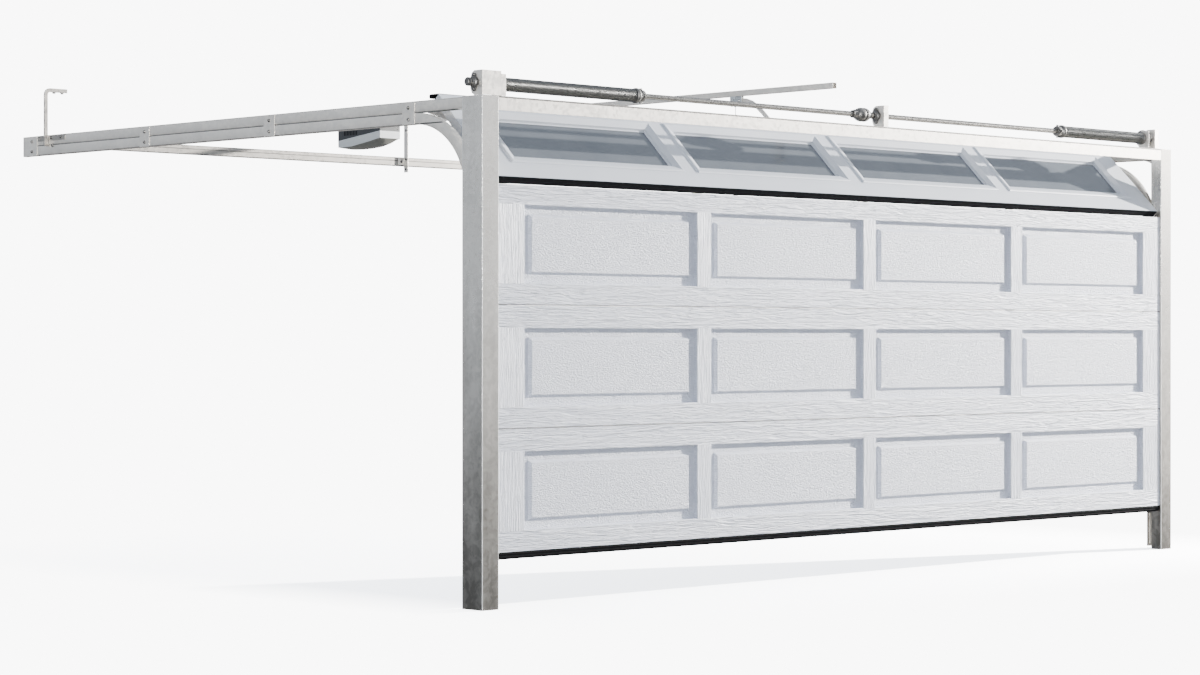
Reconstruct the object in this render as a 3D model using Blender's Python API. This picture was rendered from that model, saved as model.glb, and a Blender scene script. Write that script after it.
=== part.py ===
"""Sectional garage door with a ceiling-mounted belt opener, in metres, +Z up.

X runs across the doorway, Y runs into the garage, Z runs up. The origin is the centre of the
doorway on the floor, in the plane of the two posts' front faces. The door stands a little
open: its top section is tilted back by 45 degrees in the bend of the tracks.
"""

import math

import bmesh
import bpy
from mathutils import Vector

GAP = 0.0003

# Doorway frame
HALF_WIDTH = 2.547
POST_WIDTH = 0.094
POST_DEPTH = 0.130
POST_HEIGHT = 2.200
POST_RETURN = 0.0625
SHEET = 0.0025
HEADER_LOW = 2.138
HEADER_DEPTH = 0.045

# Door leaf
LEAF_HALF = 2.450
FACE_Y = 0.008
LEAF_THICKNESS = 0.042
BACK_Y = FACE_Y + LEAF_THICKNESS
DOOR_BASE = 0.2375
SECTION_PITCH = 0.5333
SECTION_GAP = 0.001
HINGE_Z = 1.8275
HINGE_GAP = 0.003
TOP_LENGTH = 0.530
TILT = math.radians(45)
SKIN = 0.0012
PANEL_START = 0.2504 - HALF_WIDTH
PANEL_PITCH = 1.1702
PANEL_WIDTH = 1.0822
PANEL_LOW = 0.093
PANEL_HIGH = 0.436
PANEL_RINGS = (
    (0.0, 0.0),
    (0.0016, 0.0006),
    (0.0028, 0.0022),
    (0.0040, 0.020),
    (0.041, 0.020),
    (0.0515, 0.0088),
    (0.054, 0.008),
)
WINDOW_RINGS = (
    (0.0, 0.0),
    (0.002, -0.0040),
    (0.006, -0.0063),
    (0.012, -0.0070),
    (0.045, 0.0045),
    (0.0475, 0.015),
    (0.056, 0.015),
)
PANE_INSET = 0.050
PANE_THICKNESS = 0.004
STILE_HALF = 0.036
END_STILE = 0.092
SEAL_HALF = 2.447

# Tracks, given for the right-hand side
TRACK_IN = 2.501
TRACK_OUT = 2.529
TRACK_HALF = 0.02525
TRACK_WALL = 0.0015
TRACK_LIP = 0.008
ROLLER_Y = 0.104
BEND_RADIUS = 0.360
LOWER_Z = 2.12225
UPPER_Z = 2.17475
BEND_Z = LOWER_Z - BEND_RADIUS
BEND_STEPS = 12
TRACK_END = 3.573
SPLICES = (0.505, 1.502, 2.497)
SPLICE_HALF = 0.041
PLATE_LOW = 2.0985
PLATE_HIGH = 2.1985
LUG_HEIGHTS = (0.25, 1.00, 1.65)
LUG_SIDE = 0.040

# Rollers
WHEEL_RADIUS = 0.0215
STEM_RADIUS = 0.0055
ROLLER_DROP = 0.045
TOP_ROLLER = (0.06516, 0.55625)
WHEEL_PROFILE = (
    (STEM_RADIUS, 2.5070),
    (0.0200, 2.5070),
    (WHEEL_RADIUS, 2.5085),
    (WHEEL_RADIUS, 2.5175),
    (0.0200, 2.5190),
    (0, 2.5190),
)
WHEEL_CENTRE = 2.513
STEM_END = 2.362
TOP_STEM_END = 2.4343

# Torsion shaft
SHAFT_Y = 0.049
SHAFT_Z = 2.2555
SHAFT_RADIUS = 0.0127
SPRING_RADIUS = 0.0305
SPRING_BORE = 0.0245
DRUM_RADIUS = 0.0445
DRUM_FLANGE = 0.0460
CENTRE_BRACKET_X = 0.0975
RIGHT_BRACKET_X = 2.3955
LEFT_ANCHOR_X = -2.4345
RIGHT_ANCHOR_X = 2.3370
LEFT_SPRING = (-2.400, -1.587)
RIGHT_SPRING = (1.619, 2.334)
LEFT_SHAFT = (-2.592, -0.012)
RIGHT_SHAFT = (-0.010, 2.440)
LEFT_CONE = (-1.5865, -1.532)
RIGHT_CONE = (1.6185, 1.564)
LEFT_DRUM = (-2.440, -2.495)
RIGHT_DRUM = (2.3420, 2.3670)

# Rear suspension and opener
BAR_Y = 3.412
BAR_LOW = 2.147
BAR_HIGH = 2.196
STRAP = 0.005
STRAP_HALF = 0.017
STRAP_BEND = 0.018
HANGER_BAR = 0.020
HANGER_HALF = 0.005
HANGER_BEND = 0.034
HANGER_FOOT = 2.142
HANGER_Y = 3.349
HANGER_LEG = 2.414
HANGER_TOP = 2.440
CLIP_SPAN = (3.190, 3.438)
CLIP_HEIGHTS = (2.170, 2.1975)
RAIL_HALF = 0.0145
RAIL_LOW = 2.3973
RAIL_HIGH = 2.4260
RAIL_WALL = 0.0020
RAIL_SLOT = 0.0060
RAIL_FRONT = 0.234
RAIL_BACK = 3.700
MOTOR_HALF = 0.077
MOTOR_FRONT = 3.650
MOTOR_BACK = 4.035
TROLLEY_Y = 0.872
TROLLEY_Z = 2.375
TROLLEY_END = 0.928
ARM_FOOT = (0.090, 0.440)
CORD_Y = 0.905
LEVER_Z = 2.3540
CORD_TOP = 2.3500
CORD_LENGTH = 0.450
CORD_RADIUS = 0.0018
CORD_STEP = 0.010

for old in list(bpy.data.objects):
    bpy.data.objects.remove(old, do_unlink=True)

COLOURS = {
    "galvanised": ((0.56, 0.57, 0.58, 1), 0.42, 0.85),
    "white_paint": ((0.86, 0.89, 0.93, 1), 0.5, 0.0),
    "cast_iron": ((0.09, 0.09, 0.10, 1), 0.5, 0.6),
    "spring_steel": ((0.12, 0.12, 0.12, 1), 0.4, 0.7),
    "rubber": ((0.015, 0.015, 0.017, 1), 0.75, 0.0),
    "glass": ((0.45, 0.52, 0.58, 0.6), 0.08, 0.0),
    "nylon": ((0.75, 0.75, 0.72, 1), 0.5, 0.0),
    "dark_plastic": ((0.05, 0.055, 0.06, 1), 0.5, 0.0),
    "grey_plastic": ((0.62, 0.64, 0.65, 1), 0.4, 0.0),
    "red_plastic": ((0.55, 0.04, 0.03, 1), 0.45, 0.0),
}


def material_for(node, colour):
    rgba, roughness, metallic = COLOURS[colour]
    material = bpy.data.materials.new(node)
    material.use_nodes = True
    shader = material.node_tree.nodes["Principled BSDF"]
    shader.inputs["Base Color"].default_value = rgba
    shader.inputs["Roughness"].default_value = roughness
    shader.inputs["Metallic"].default_value = metallic
    material.diffuse_color = rgba
    return material


def joint_empty(name, x, y, z):
    empty = bpy.data.objects.new(name, None)
    empty.location = (x, y, z)
    empty.empty_display_size = 0.05
    bpy.context.scene.collection.objects.link(empty)
    return empty


def mesh_from(points, faces):
    """A mesh of these points and faces, with its faces turned outwards."""
    mesh = bpy.data.meshes.new("shape")
    work = bmesh.new()
    corners = [work.verts.new(point) for point in points]
    for face in faces:
        work.faces.new([corners[i] for i in face])
    bmesh.ops.recalc_face_normals(work, faces=work.faces)
    work.to_mesh(mesh)
    work.free()
    return mesh


def place(axis, along, first, second):
    """A point from its place along an axis and the two coordinates across it."""
    if axis == "X":
        return (along, first, second)
    if axis == "Y":
        return (first, along, second)
    return (first, second, along)


def prism(axis, outline, start, end):
    """A straight bar with this outline: (y, z) along X, (x, z) along Y, (x, y) along Z."""
    count = len(outline)
    points = [place(axis, start, *p) for p in outline] + [place(axis, end, *p) for p in outline]
    faces = [list(range(count)), list(range(count, 2 * count))]
    for i in range(count):
        j = (i + 1) % count
        faces.append([i, j, count + j, count + i])
    return mesh_from(points, faces)


def block(x0, x1, y0, y1, z0, z1):
    return prism("Z", ((x0, y0), (x1, y0), (x1, y1), (x0, y1)), z0, z1)


def lathe(axis, centre, profile, steps=16):
    """A ring turned from a closed (radius, along) profile; radius 0 closes it on the axis."""
    points = []
    rings = []
    for radius, along in profile:
        if radius == 0:
            rings.append([len(points)] * steps)
            points.append(place(axis, along, *centre))
            continue
        rings.append(list(range(len(points), len(points) + steps)))
        for i in range(steps):
            angle = math.tau * (i + 0.5) / steps
            first = centre[0] + radius * math.cos(angle)
            second = centre[1] + radius * math.sin(angle)
            points.append(place(axis, along, first, second))
    faces = []
    for here, there in zip(rings, rings[1:] + rings[:1]):
        for i in range(steps):
            j = (i + 1) % steps
            face = list(dict.fromkeys((here[i], here[j], there[j], there[i])))
            if len(face) > 2:
                faces.append(face)
    return mesh_from(points, faces)


def tube(axis, centre, inner, outer, start, end, steps=16):
    profile = ((inner, start), (outer, start), (outer, end), (inner, end))
    return lathe(axis, centre, profile, steps)


def rod(axis, centre, radius, start, end, steps=16):
    profile = ((0, start), (radius, start), (radius, end), (0, end))
    return lathe(axis, centre, profile, steps)


def sweep(path, outline):
    """A bar that follows a (y, z) path; its outline is (offset to the path's left, x)."""
    count = len(outline)
    points = []
    for i, spot in enumerate(path):
        before = Vector(path[max(i - 1, 0)])
        after = Vector(path[min(i + 1, len(path) - 1)])
        along = (after - before).normalized()
        stretch = 1.0
        if 0 < i < len(path) - 1:
            stretch = 1 / along.dot((after - Vector(spot)).normalized())
        left = Vector((-along.y, along.x)) * stretch
        for offset, x in outline:
            points.append((x, spot[0] + left.x * offset, spot[1] + left.y * offset))
    last = len(points) - count
    faces = [list(range(count)), list(range(last, last + count))]
    for ring in range(0, last, count):
        for i in range(count):
            j = (i + 1) % count
            faces.append([ring + i, ring + j, ring + count + j, ring + count + i])
    return mesh_from(points, faces)


def temporary(mesh):
    holder = bpy.data.objects.new("shape", mesh)
    bpy.context.scene.collection.objects.link(holder)
    return holder


def combined(base, others, operation="UNION"):
    """The mesh of the base joined with, or cut by, each other mesh in turn."""
    holder = temporary(base)
    helpers = []
    for other in others:
        helper = temporary(other)
        modifier = holder.modifiers.new("join", "BOOLEAN")
        modifier.operation = operation
        modifier.solver = "EXACT"
        modifier.object = helper
        helpers.append(helper)
    graph = bpy.context.evaluated_depsgraph_get()
    result = bpy.data.meshes.new_from_object(holder.evaluated_get(graph))
    for helper in helpers + [holder]:
        bpy.data.objects.remove(helper, do_unlink=True)
    return result


def node(name, mesh, colour, joint=None, flip=False, smooth=False):
    """Puts the mesh in the scene as one part; flip mirrors it to the other side of the door."""
    origin = joint.location.copy() if joint else Vector((0, 0, 0))
    work = bmesh.new()
    work.from_mesh(mesh)
    for corner in work.verts:
        if flip:
            corner.co.x = -corner.co.x
        corner.co -= origin
    if flip:
        bmesh.ops.reverse_faces(work, faces=work.faces)
    bmesh.ops.dissolve_degenerate(work, dist=0.00001, edges=work.edges)
    final = bpy.data.meshes.new(name)
    work.to_mesh(final)
    work.free()
    if smooth:
        final.shade_smooth()
        final.set_sharp_from_angle(angle=math.radians(40))
    part = bpy.data.objects.new(name, final)
    part.data.materials.clear()
    part.data.materials.append(material_for(name, colour))
    bpy.context.scene.collection.objects.link(part)
    if joint:
        part.parent = joint
    return part


def sides():
    return (("left", True), ("right", False))


# Joint origins: each moving group hangs from an empty on its joint
door = joint_empty("door_travel_axis", 0, BACK_Y, HINGE_Z)
top = joint_empty("top_section_axis", 0, BACK_Y, HINGE_Z)
shaft = joint_empty("shaft_axis", 0, SHAFT_Y, SHAFT_Z)
trolley = joint_empty("trolley_axis", 0, TROLLEY_Y, TROLLEY_Z)
release = joint_empty("release_pull_axis", 0, CORD_Y, LEVER_Z)


def on_top(h, length):
    """The (y, z) of a point on the tilted top section: h behind its back, length up from its hinge."""
    y = BACK_Y + length * math.sin(TILT) + h * math.cos(TILT)
    z = HINGE_Z + length * math.cos(TILT) - h * math.sin(TILT)
    return (y, z)


top_roller_y, _ = on_top(*TOP_ROLLER)
top_rollers = joint_empty("top_roller_axis", 0, top_roller_y, UPPER_Z)

# Posts: C profile with a foot plate
outer = HALF_WIDTH
inner = HALF_WIDTH - POST_WIDTH
post_outline = (
    (inner, 0),
    (outer, 0),
    (outer, POST_DEPTH),
    (outer - SHEET, POST_DEPTH),
    (outer - SHEET, SHEET),
    (inner + SHEET, SHEET),
    (inner + SHEET, POST_RETURN),
    (inner, POST_RETURN),
)
for side, flip in sides():
    post = prism("Z", post_outline, 0, POST_HEIGHT)
    foot = block(inner + 0.001, outer - 0.001, 0.001, 0.060, 0, 0.004)
    node(side + "_post", combined(post, [foot]), "galvanised", flip=flip)

header_outline = (
    (0, HEADER_LOW),
    (SHEET, HEADER_LOW),
    (SHEET, POST_HEIGHT - SHEET),
    (HEADER_DEPTH, POST_HEIGHT - SHEET),
    (HEADER_DEPTH, POST_HEIGHT),
    (0, POST_HEIGHT),
)
node("header_beam", prism("X", header_outline, GAP - inner, inner - GAP), "galvanised")


# Tracks
def track_outline():
    """A channel that opens towards the door, with a short lip along each edge."""
    half = TRACK_HALF
    core = TRACK_HALF - TRACK_WALL
    lip = TRACK_HALF - TRACK_LIP
    near = TRACK_IN + TRACK_WALL
    far = TRACK_OUT - TRACK_WALL
    return (
        (half, TRACK_IN),
        (half, TRACK_OUT),
        (-half, TRACK_OUT),
        (-half, TRACK_IN),
        (-lip, TRACK_IN),
        (-lip, near),
        (-core, near),
        (-core, far),
        (core, far),
        (core, near),
        (lip, near),
        (lip, TRACK_IN),
    )


lower_path = [(ROLLER_Y, BEND_Z - 0.010)]
for step in range(BEND_STEPS + 1):
    angle = math.pi / 2 * step / BEND_STEPS
    y = ROLLER_Y + BEND_RADIUS * (1 - math.cos(angle))
    z = BEND_Z + BEND_RADIUS * math.sin(angle)
    lower_path.append((y, z))
lower_path.append((TRACK_END, LOWER_Z))
gusset = (
    (0.012, UPPER_Z - TRACK_HALF + 0.001),
    (0.012, 2.078),
    (0.050, 2.092),
    (0.090, 2.116),
    (0.135, 2.137),
    (0.183, UPPER_Z - TRACK_HALF + 0.001),
)
plate_in = TRACK_OUT - 0.0005
plate_out = TRACK_OUT + 0.0020
for side, flip in sides():
    upright = sweep(((ROLLER_Y, 0.010), (ROLLER_Y, BEND_Z - 0.010 - GAP)), track_outline())
    lugs = []
    for z in LUG_HEIGHTS:
        lug = (TRACK_OUT - 0.0005, HALF_WIDTH - SHEET - GAP)
        lugs.append(block(*lug, ROLLER_Y - 0.015, ROLLER_Y + 0.015, z, z + LUG_SIDE))
    node(side + "_vertical_track", combined(upright, lugs), "galvanised", flip=flip)
    node(side + "_lower_track", sweep(lower_path, track_outline()), "galvanised", flip=flip)
    upper = sweep(((0.010, UPPER_Z), (TRACK_END, UPPER_Z)), track_outline())
    plates = [prism("X", gusset, TRACK_OUT - TRACK_WALL, TRACK_OUT)]
    spans = [(y - SPLICE_HALF, y + SPLICE_HALF) for y in SPLICES]
    spans.append((3.445, TRACK_END + 0.001))
    for start, end in spans:
        plates.append(block(TRACK_OUT + GAP, plate_out, start, end, PLATE_LOW, PLATE_HIGH))
        spot = (start + 0.01, end - 0.01, UPPER_Z - 0.023, UPPER_Z + 0.022)
        plates.append(block(plate_in, TRACK_OUT + 0.001, *spot))
    node(side + "_upper_track", combined(upper, plates), "galvanised", flip=flip)


# Door sections: folded steel pans with an open back, end stiles and centre stiles
def panel_edges(index):
    start = PANEL_START + index * PANEL_PITCH
    return start, start + PANEL_WIDTH


def pan(low, high, rings, glazed):
    """The outer skin of a pan, before it is given its thickness."""
    work = bmesh.new()
    made = {}

    def corner(x, y, z):
        key = (round(x, 6), round(y, 6), round(z, 6))
        if key not in made:
            made[key] = work.verts.new((x, y, z))
        return made[key]

    def quad(a, b, c, d):
        work.faces.new([corner(*p) for p in (a, b, c, d)])

    columns = [-LEAF_HALF]
    for index in range(4):
        columns.extend(panel_edges(index))
    columns.append(LEAF_HALF)
    rows = [low, low + PANEL_LOW, low + PANEL_HIGH, high]
    for c, (x0, x1) in enumerate(zip(columns, columns[1:])):
        for r, (z0, z1) in enumerate(zip(rows, rows[1:])):
            if c % 2 == 1 and r == 1:
                continue
            quad((x0, FACE_Y, z0), (x1, FACE_Y, z0), (x1, FACE_Y, z1), (x0, FACE_Y, z1))
    for index in range(4):
        x0, x1 = panel_edges(index)
        z0, z1 = low + PANEL_LOW, low + PANEL_HIGH
        loops = []
        for inset, depth in rings:
            y = FACE_Y + depth
            loops.append(
                (
                    (x0 + inset, y, z0 + inset),
                    (x1 - inset, y, z0 + inset),
                    (x1 - inset, y, z1 - inset),
                    (x0 + inset, y, z1 - inset),
                )
            )
        for outer_loop, inner_loop in zip(loops, loops[1:]):
            for i in range(4):
                j = (i + 1) % 4
                quad(outer_loop[i], outer_loop[j], inner_loop[j], inner_loop[i])
        if not glazed:
            quad(*loops[-1])
    for z in (low, high):
        for x0, x1 in zip(columns, columns[1:]):
            quad((x0, FACE_Y, z), (x1, FACE_Y, z), (x1, BACK_Y, z), (x0, BACK_Y, z))
    for x in (-LEAF_HALF, LEAF_HALF):
        for z0, z1 in zip(rows, rows[1:]):
            quad((x, FACE_Y, z0), (x, FACE_Y, z1), (x, BACK_Y, z1), (x, BACK_Y, z0))
    bmesh.ops.recalc_face_normals(work, faces=work.faces)
    face = min(work.faces, key=lambda f: f.calc_center_median().y + abs(f.normal.y + 1))
    if face.normal.y > 0:
        bmesh.ops.reverse_faces(work, faces=work.faces)
    mesh = bpy.data.meshes.new("skin")
    work.to_mesh(mesh)
    work.free()
    holder = temporary(mesh)
    modifier = holder.modifiers.new("skin", "SOLIDIFY")
    modifier.thickness = SKIN
    modifier.offset = -1
    modifier.use_even_offset = True
    graph = bpy.context.evaluated_depsgraph_get()
    result = bpy.data.meshes.new_from_object(holder.evaluated_get(graph))
    bpy.data.objects.remove(holder, do_unlink=True)
    return result


def stiles(low, high):
    """Back plates that tie the top and bottom folds of a pan together."""
    edge = LEAF_HALF - 0.0005
    spans = [(-edge, END_STILE - LEAF_HALF), (LEAF_HALF - END_STILE, edge)]
    for index in range(3):
        middle = (panel_edges(index)[1] + panel_edges(index + 1)[0]) / 2
        spans.append((middle - STILE_HALF, middle + STILE_HALF))
    plates = []
    for x0, x1 in spans:
        plates.append(block(x0, x1, BACK_Y - 0.0018, BACK_Y - 0.0004, low + 0.0005, high - 0.0005))
    return plates


def roller_bracket(z, flip):
    """A bracket from the end stile out to the sleeve that carries a roller stem."""
    foot = block(2.392, 2.440, BACK_Y - 0.001, BACK_Y + 0.0025, z - 0.030, z + 0.030)
    web = block(2.400, 2.404, BACK_Y + 0.001, ROLLER_Y - 0.0065, z - 0.022, z + 0.022)
    rib = block(2.428, 2.432, BACK_Y + 0.001, ROLLER_Y - 0.0065, z - 0.022, z + 0.022)
    sleeve = tube("X", (ROLLER_Y, z), STEM_RADIUS + 0.0004, 0.0085, 2.392, 2.440, 12)
    pieces = [foot, web, rib, sleeve]
    if flip:
        for piece in pieces:
            piece.transform(((-1, 0, 0, 0), (0, 1, 0, 0), (0, 0, 1, 0), (0, 0, 0, 1)))
            piece.flip_normals()
    return pieces


def section_base(index):
    return DOOR_BASE + index * SECTION_PITCH


roller_heights = [section_base(0) + 0.050]
for index in range(3):
    low = section_base(index)
    high = section_base(index + 1) - SECTION_GAP
    if index == 2:
        high = HINGE_Z - HINGE_GAP
    heights = [high - ROLLER_DROP]
    roller_heights.append(high - ROLLER_DROP)
    if index == 0:
        heights.append(roller_heights[0])
    extras = stiles(low, high)
    for z in heights:
        extras += roller_bracket(z, True) + roller_bracket(z, False)
    mesh = combined(pan(low, high, PANEL_RINGS, False), extras)
    node(f"section_{index + 1}", mesh, "white_paint", joint=door)

seal_outline = (
    (0.012, DOOR_BASE - GAP),
    (0.012, DOOR_BASE - 0.018),
    (0.018, DOOR_BASE - 0.025),
    (0.029, DOOR_BASE - 0.028),
    (0.040, DOOR_BASE - 0.025),
    (0.046, DOOR_BASE - 0.018),
    (0.046, DOOR_BASE - GAP),
)
node("bottom_seal", prism("X", seal_outline, -SEAL_HALF, SEAL_HALF), "rubber", joint=door)

# Rollers: a wheel and its stem turn as one
for level, z in enumerate(roller_heights):
    for side, flip in sides():
        x = -WHEEL_CENTRE if flip else WHEEL_CENTRE
        axis = joint_empty(f"{side}_roller_{level + 1}_axis", x, ROLLER_Y, z)
        axis.parent = door
        axis.location = Vector((x, ROLLER_Y, z)) - door.location
        profile = ((0, STEM_END), (STEM_RADIUS, STEM_END)) + WHEEL_PROFILE
        wheel = lathe("X", (ROLLER_Y, z), profile, 20)
        part = node(f"{side}_roller_{level + 1}", wheel, "nylon", flip=flip, smooth=True)
        shift = Vector((x, ROLLER_Y, z))
        for corner in part.data.vertices:
            corner.co -= shift
        part.parent = axis


# Top section, modelled upright above its hinge and then tilted back
def tilted(mesh):
    """Turns an upright mesh about the hinge by the tilt of the top section."""
    for corner in mesh.vertices:
        h = corner.co.y - BACK_Y
        length = corner.co.z - HINGE_Z
        corner.co.y, corner.co.z = on_top(h, length)
    return mesh


top_low = HINGE_Z + HINGE_GAP
top_high = HINGE_Z + TOP_LENGTH
extras = stiles(top_low, top_high)
arm_outline = (
    (BACK_Y - 0.001, top_high - 0.130),
    (BACK_Y - 0.001, top_high - 0.010),
    (BACK_Y + 0.050, HINGE_Z + TOP_ROLLER[1] + 0.014),
    (BACK_Y + 0.074, HINGE_Z + TOP_ROLLER[1] + 0.014),
    (BACK_Y + 0.080, HINGE_Z + TOP_ROLLER[1] + 0.006),
    (BACK_Y + 0.080, HINGE_Z + TOP_ROLLER[1] - 0.012),
)
for x0, x1 in ((-2.434, -2.430), (2.430, 2.434)):
    extras.append(prism("X", arm_outline, x0, x1))
mesh = combined(pan(top_low, top_high, WINDOW_RINGS, True), extras)
node("top_section", tilted(mesh), "white_paint", joint=top)

for index in range(4):
    x0, x1 = panel_edges(index)
    y0 = FACE_Y + WINDOW_RINGS[-1][1] + SKIN + GAP
    low = top_low + PANEL_LOW + PANE_INSET
    high = top_low + PANEL_HIGH - PANE_INSET
    pane = block(x0 + PANE_INSET, x1 - PANE_INSET, y0, y0 + PANE_THICKNESS, low, high)
    node(f"window_pane_{index + 1}", tilted(pane), "glass", joint=top)

strip = block(-SEAL_HALF, SEAL_HALF, FACE_Y + 0.001, BACK_Y - 0.001, HINGE_Z + 0.0005, top_low - GAP)
node("joint_seal", tilted(strip), "rubber", joint=top)

corner_y, corner_z = on_top(-LEAF_THICKNESS, TOP_LENGTH + 0.0040)
seal_outline = [on_top(-0.002, TOP_LENGTH + GAP), on_top(-LEAF_THICKNESS, TOP_LENGTH + GAP)]
seal_outline.append((corner_y, corner_z))
bulb_y, bulb_z, bulb_radius = corner_y + 0.055, corner_z - 0.0105, 0.0105
for step in range(9):
    angle = math.radians(90 - 30 * step)
    y = bulb_y + bulb_radius * math.cos(angle)
    seal_outline.append((y, bulb_z + bulb_radius * math.sin(angle)))
seal_outline.append((bulb_y - 0.010, corner_z - 0.0040))
seal_outline.append((corner_y + 0.008, corner_z - 0.0040))
seal_outline.append(on_top(-0.002, TOP_LENGTH + 0.0030))
node("top_seal", prism("X", seal_outline, -SEAL_HALF, SEAL_HALF), "rubber", joint=top)

foot_h, foot_length = ARM_FOOT
foot_outline = (
    (BACK_Y + GAP, HINGE_Z + foot_length - 0.060),
    (BACK_Y + foot_h + 0.004, HINGE_Z + foot_length - 0.014),
    (BACK_Y + foot_h + 0.014, HINGE_Z + foot_length),
    (BACK_Y + foot_h + 0.004, HINGE_Z + foot_length + 0.014),
    (BACK_Y + GAP, HINGE_Z + foot_length + 0.045),
)
ears = []
for x0, x1 in ((-0.0095, -0.0065), (0.0065, 0.0095)):
    ears.append(prism("X", foot_outline, x0, x1))
base_low = HINGE_Z + foot_length - 0.075
base_high = HINGE_Z + foot_length + 0.060
base = block(-0.030, 0.030, BACK_Y + GAP, BACK_Y + 0.0035, base_low, base_high)
node("arm_bracket", tilted(combined(base, ears)), "galvanised", joint=top)

# Top rollers run in the upper tracks on their own stems
for side, flip in sides():
    profile = ((0, TOP_STEM_END), (STEM_RADIUS, TOP_STEM_END)) + WHEEL_PROFILE
    wheel = lathe("X", (top_roller_y, UPPER_Z), profile, 20)
    node(side + "_top_roller", wheel, "nylon", joint=top_rollers, flip=flip, smooth=True)

# Torsion shaft with its brackets, bearings, springs and drums
AXIS = (SHAFT_Y, SHAFT_Z)
BORE = SHAFT_RADIUS + 0.0005
bracket_low = POST_HEIGHT + GAP


def shaft_bracket(x0, x1, pieces, bore, high):
    """An upright plate with its two rear corners rounded, joined to its pieces and then bored."""
    outline = [(0, bracket_low), (0.052, bracket_low)]
    outline += [(0.068, bracket_low + 0.010), (0.076, bracket_low + 0.030)]
    outline += [(0.076, high - 0.030), (0.068, high - 0.010), (0.052, high), (0, high)]
    body = combined(prism("X", outline, x0, x1), pieces)
    return combined(body, [rod("X", AXIS, bore, x0 - 0.1, x1 + 0.1)], "DIFFERENCE")


def front_flange(x0, x1, high):
    """The front face of a bracket, set a hair inside its plate's edges."""
    return block(x0, x1, 0.0001, SHEET, bracket_low + 0.0005, high - 0.0005)


front = front_flange(0.001 - HALF_WIDTH, -2.4375, 2.3065)
left_plate = shaft_bracket(-HALF_WIDTH, SHEET - HALF_WIDTH, [front], BORE + 0.004, 2.3065)
node("left_end_bracket", left_plate, "galvanised")
for name, x in (("centre_bracket", CENTRE_BRACKET_X), ("right_end_bracket", RIGHT_BRACKET_X)):
    front = front_flange(x + 0.001, x + 0.0345, 2.305)
    node(name, shaft_bracket(x, x + SHEET, [front], BORE + 0.004, 2.305), "galvanised")


def bearing(name, x):
    """A cast flange bearing on the left face of a plate at x."""
    lobes = []
    for step in range(32):
        angle = math.tau * step / 32
        reach = 0.0275 + 0.0125 * max(0.0, math.cos(2 * angle)) ** 2
        reach += 0.0045 * max(0.0, -math.cos(2 * angle)) ** 2
        lobes.append((SHAFT_Y + reach * math.sin(angle), SHAFT_Z + reach * math.cos(angle)))
    flange = prism("X", lobes, x - 0.0055, x - GAP)
    hub = rod("X", AXIS, 0.0190, x - 0.026, x - 0.004, 16)
    body = combined(flange, [hub])
    hole = rod("X", AXIS, BORE, x - 0.05, x + 0.01, 16)
    node(name, combined(body, [hole], "DIFFERENCE"), "cast_iron")


bearing("left_bearing", -HALF_WIDTH)
bearing("centre_bearing", CENTRE_BRACKET_X)
bearing("right_bearing", RIGHT_BRACKET_X)


def spring_anchor(name, x, sense, lip):
    """A plate that holds the still end of a spring; sense is the way its cone points."""
    pieces = [rod("X", AXIS, 0.0235, *sorted((x - sense * 0.001, x + sense * 0.060)), 16)]
    if lip:
        pieces.append(front_flange(x - 0.001, x + 0.0245, 2.295))
    plate = shaft_bracket(*sorted((x, x - sense * SHEET)), pieces, BORE, 2.295)
    node(name, plate, "galvanised")


spring_anchor("left_spring_anchor", LEFT_ANCHOR_X, 1, True)
spring_anchor("right_spring_anchor", RIGHT_ANCHOR_X, -1, False)

for name, span in (("left_spring", LEFT_SPRING), ("right_spring", RIGHT_SPRING)):
    coil = tube("X", AXIS, SPRING_BORE, SPRING_RADIUS, *span, 24)
    node(name, coil, "spring_steel", smooth=True)

for name, span in (("left_shaft", LEFT_SHAFT), ("right_shaft", RIGHT_SHAFT)):
    node(name, rod("X", AXIS, SHAFT_RADIUS, *span, 16), "galvanised", shaft, smooth=True)

coupling_profile = (
    (BORE, -0.086),
    (0.0190, -0.086),
    (0.0190, -0.048),
    (0.0290, -0.044),
    (0.0345, -0.030),
    (0.0345, -0.014),
    (0.0300, -0.012),
    (0.0300, -0.008),
    (0.0345, -0.006),
    (0.0345, 0.012),
    (0.0290, 0.024),
    (0.0190, 0.028),
    (0.0190, 0.044),
    (BORE, 0.044),
)
coupling = lathe("X", AXIS, coupling_profile, 24)
node("shaft_coupling", coupling, "cast_iron", shaft, smooth=True)


def cone_profile(start, end):
    """A winding cone: wide at its spring end, with a square-cut collar at the other."""
    run = end - start
    spots = ((0.0305, 0.0), (0.0345, 0.12), (0.0345, 0.35), (0.0260, 0.55), (0.0260, 1.0))
    return [(BORE, start)] + [(r, start + run * t) for r, t in spots] + [(BORE, end)]


left_cone = lathe("X", AXIS, cone_profile(*LEFT_CONE), 16)
node("left_winding_cone", left_cone, "cast_iron", shaft, smooth=True)
right_cone = lathe("X", AXIS, cone_profile(*RIGHT_CONE), 16)
node("right_winding_cone", right_cone, "cast_iron", shaft, smooth=True)


def drum_profile(inboard, outboard):
    run = outboard - inboard
    spots = ((DRUM_FLANGE, 0.0), (DRUM_FLANGE, 0.12), (DRUM_RADIUS - 0.004, 0.2))
    spots += ((DRUM_RADIUS - 0.004, 0.8), (DRUM_RADIUS, 0.9), (DRUM_RADIUS, 1.0))
    return [(BORE, inboard)] + [(r, inboard + run * t) for r, t in spots] + [(BORE, outboard)]


left_drum = lathe("X", AXIS, drum_profile(*LEFT_DRUM), 24)
node("left_drum", left_drum, "cast_iron", shaft, smooth=True)
right_drum = lathe("X", AXIS, drum_profile(*RIGHT_DRUM), 24)
node("right_drum", right_drum, "cast_iron", shaft, smooth=True)

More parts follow.
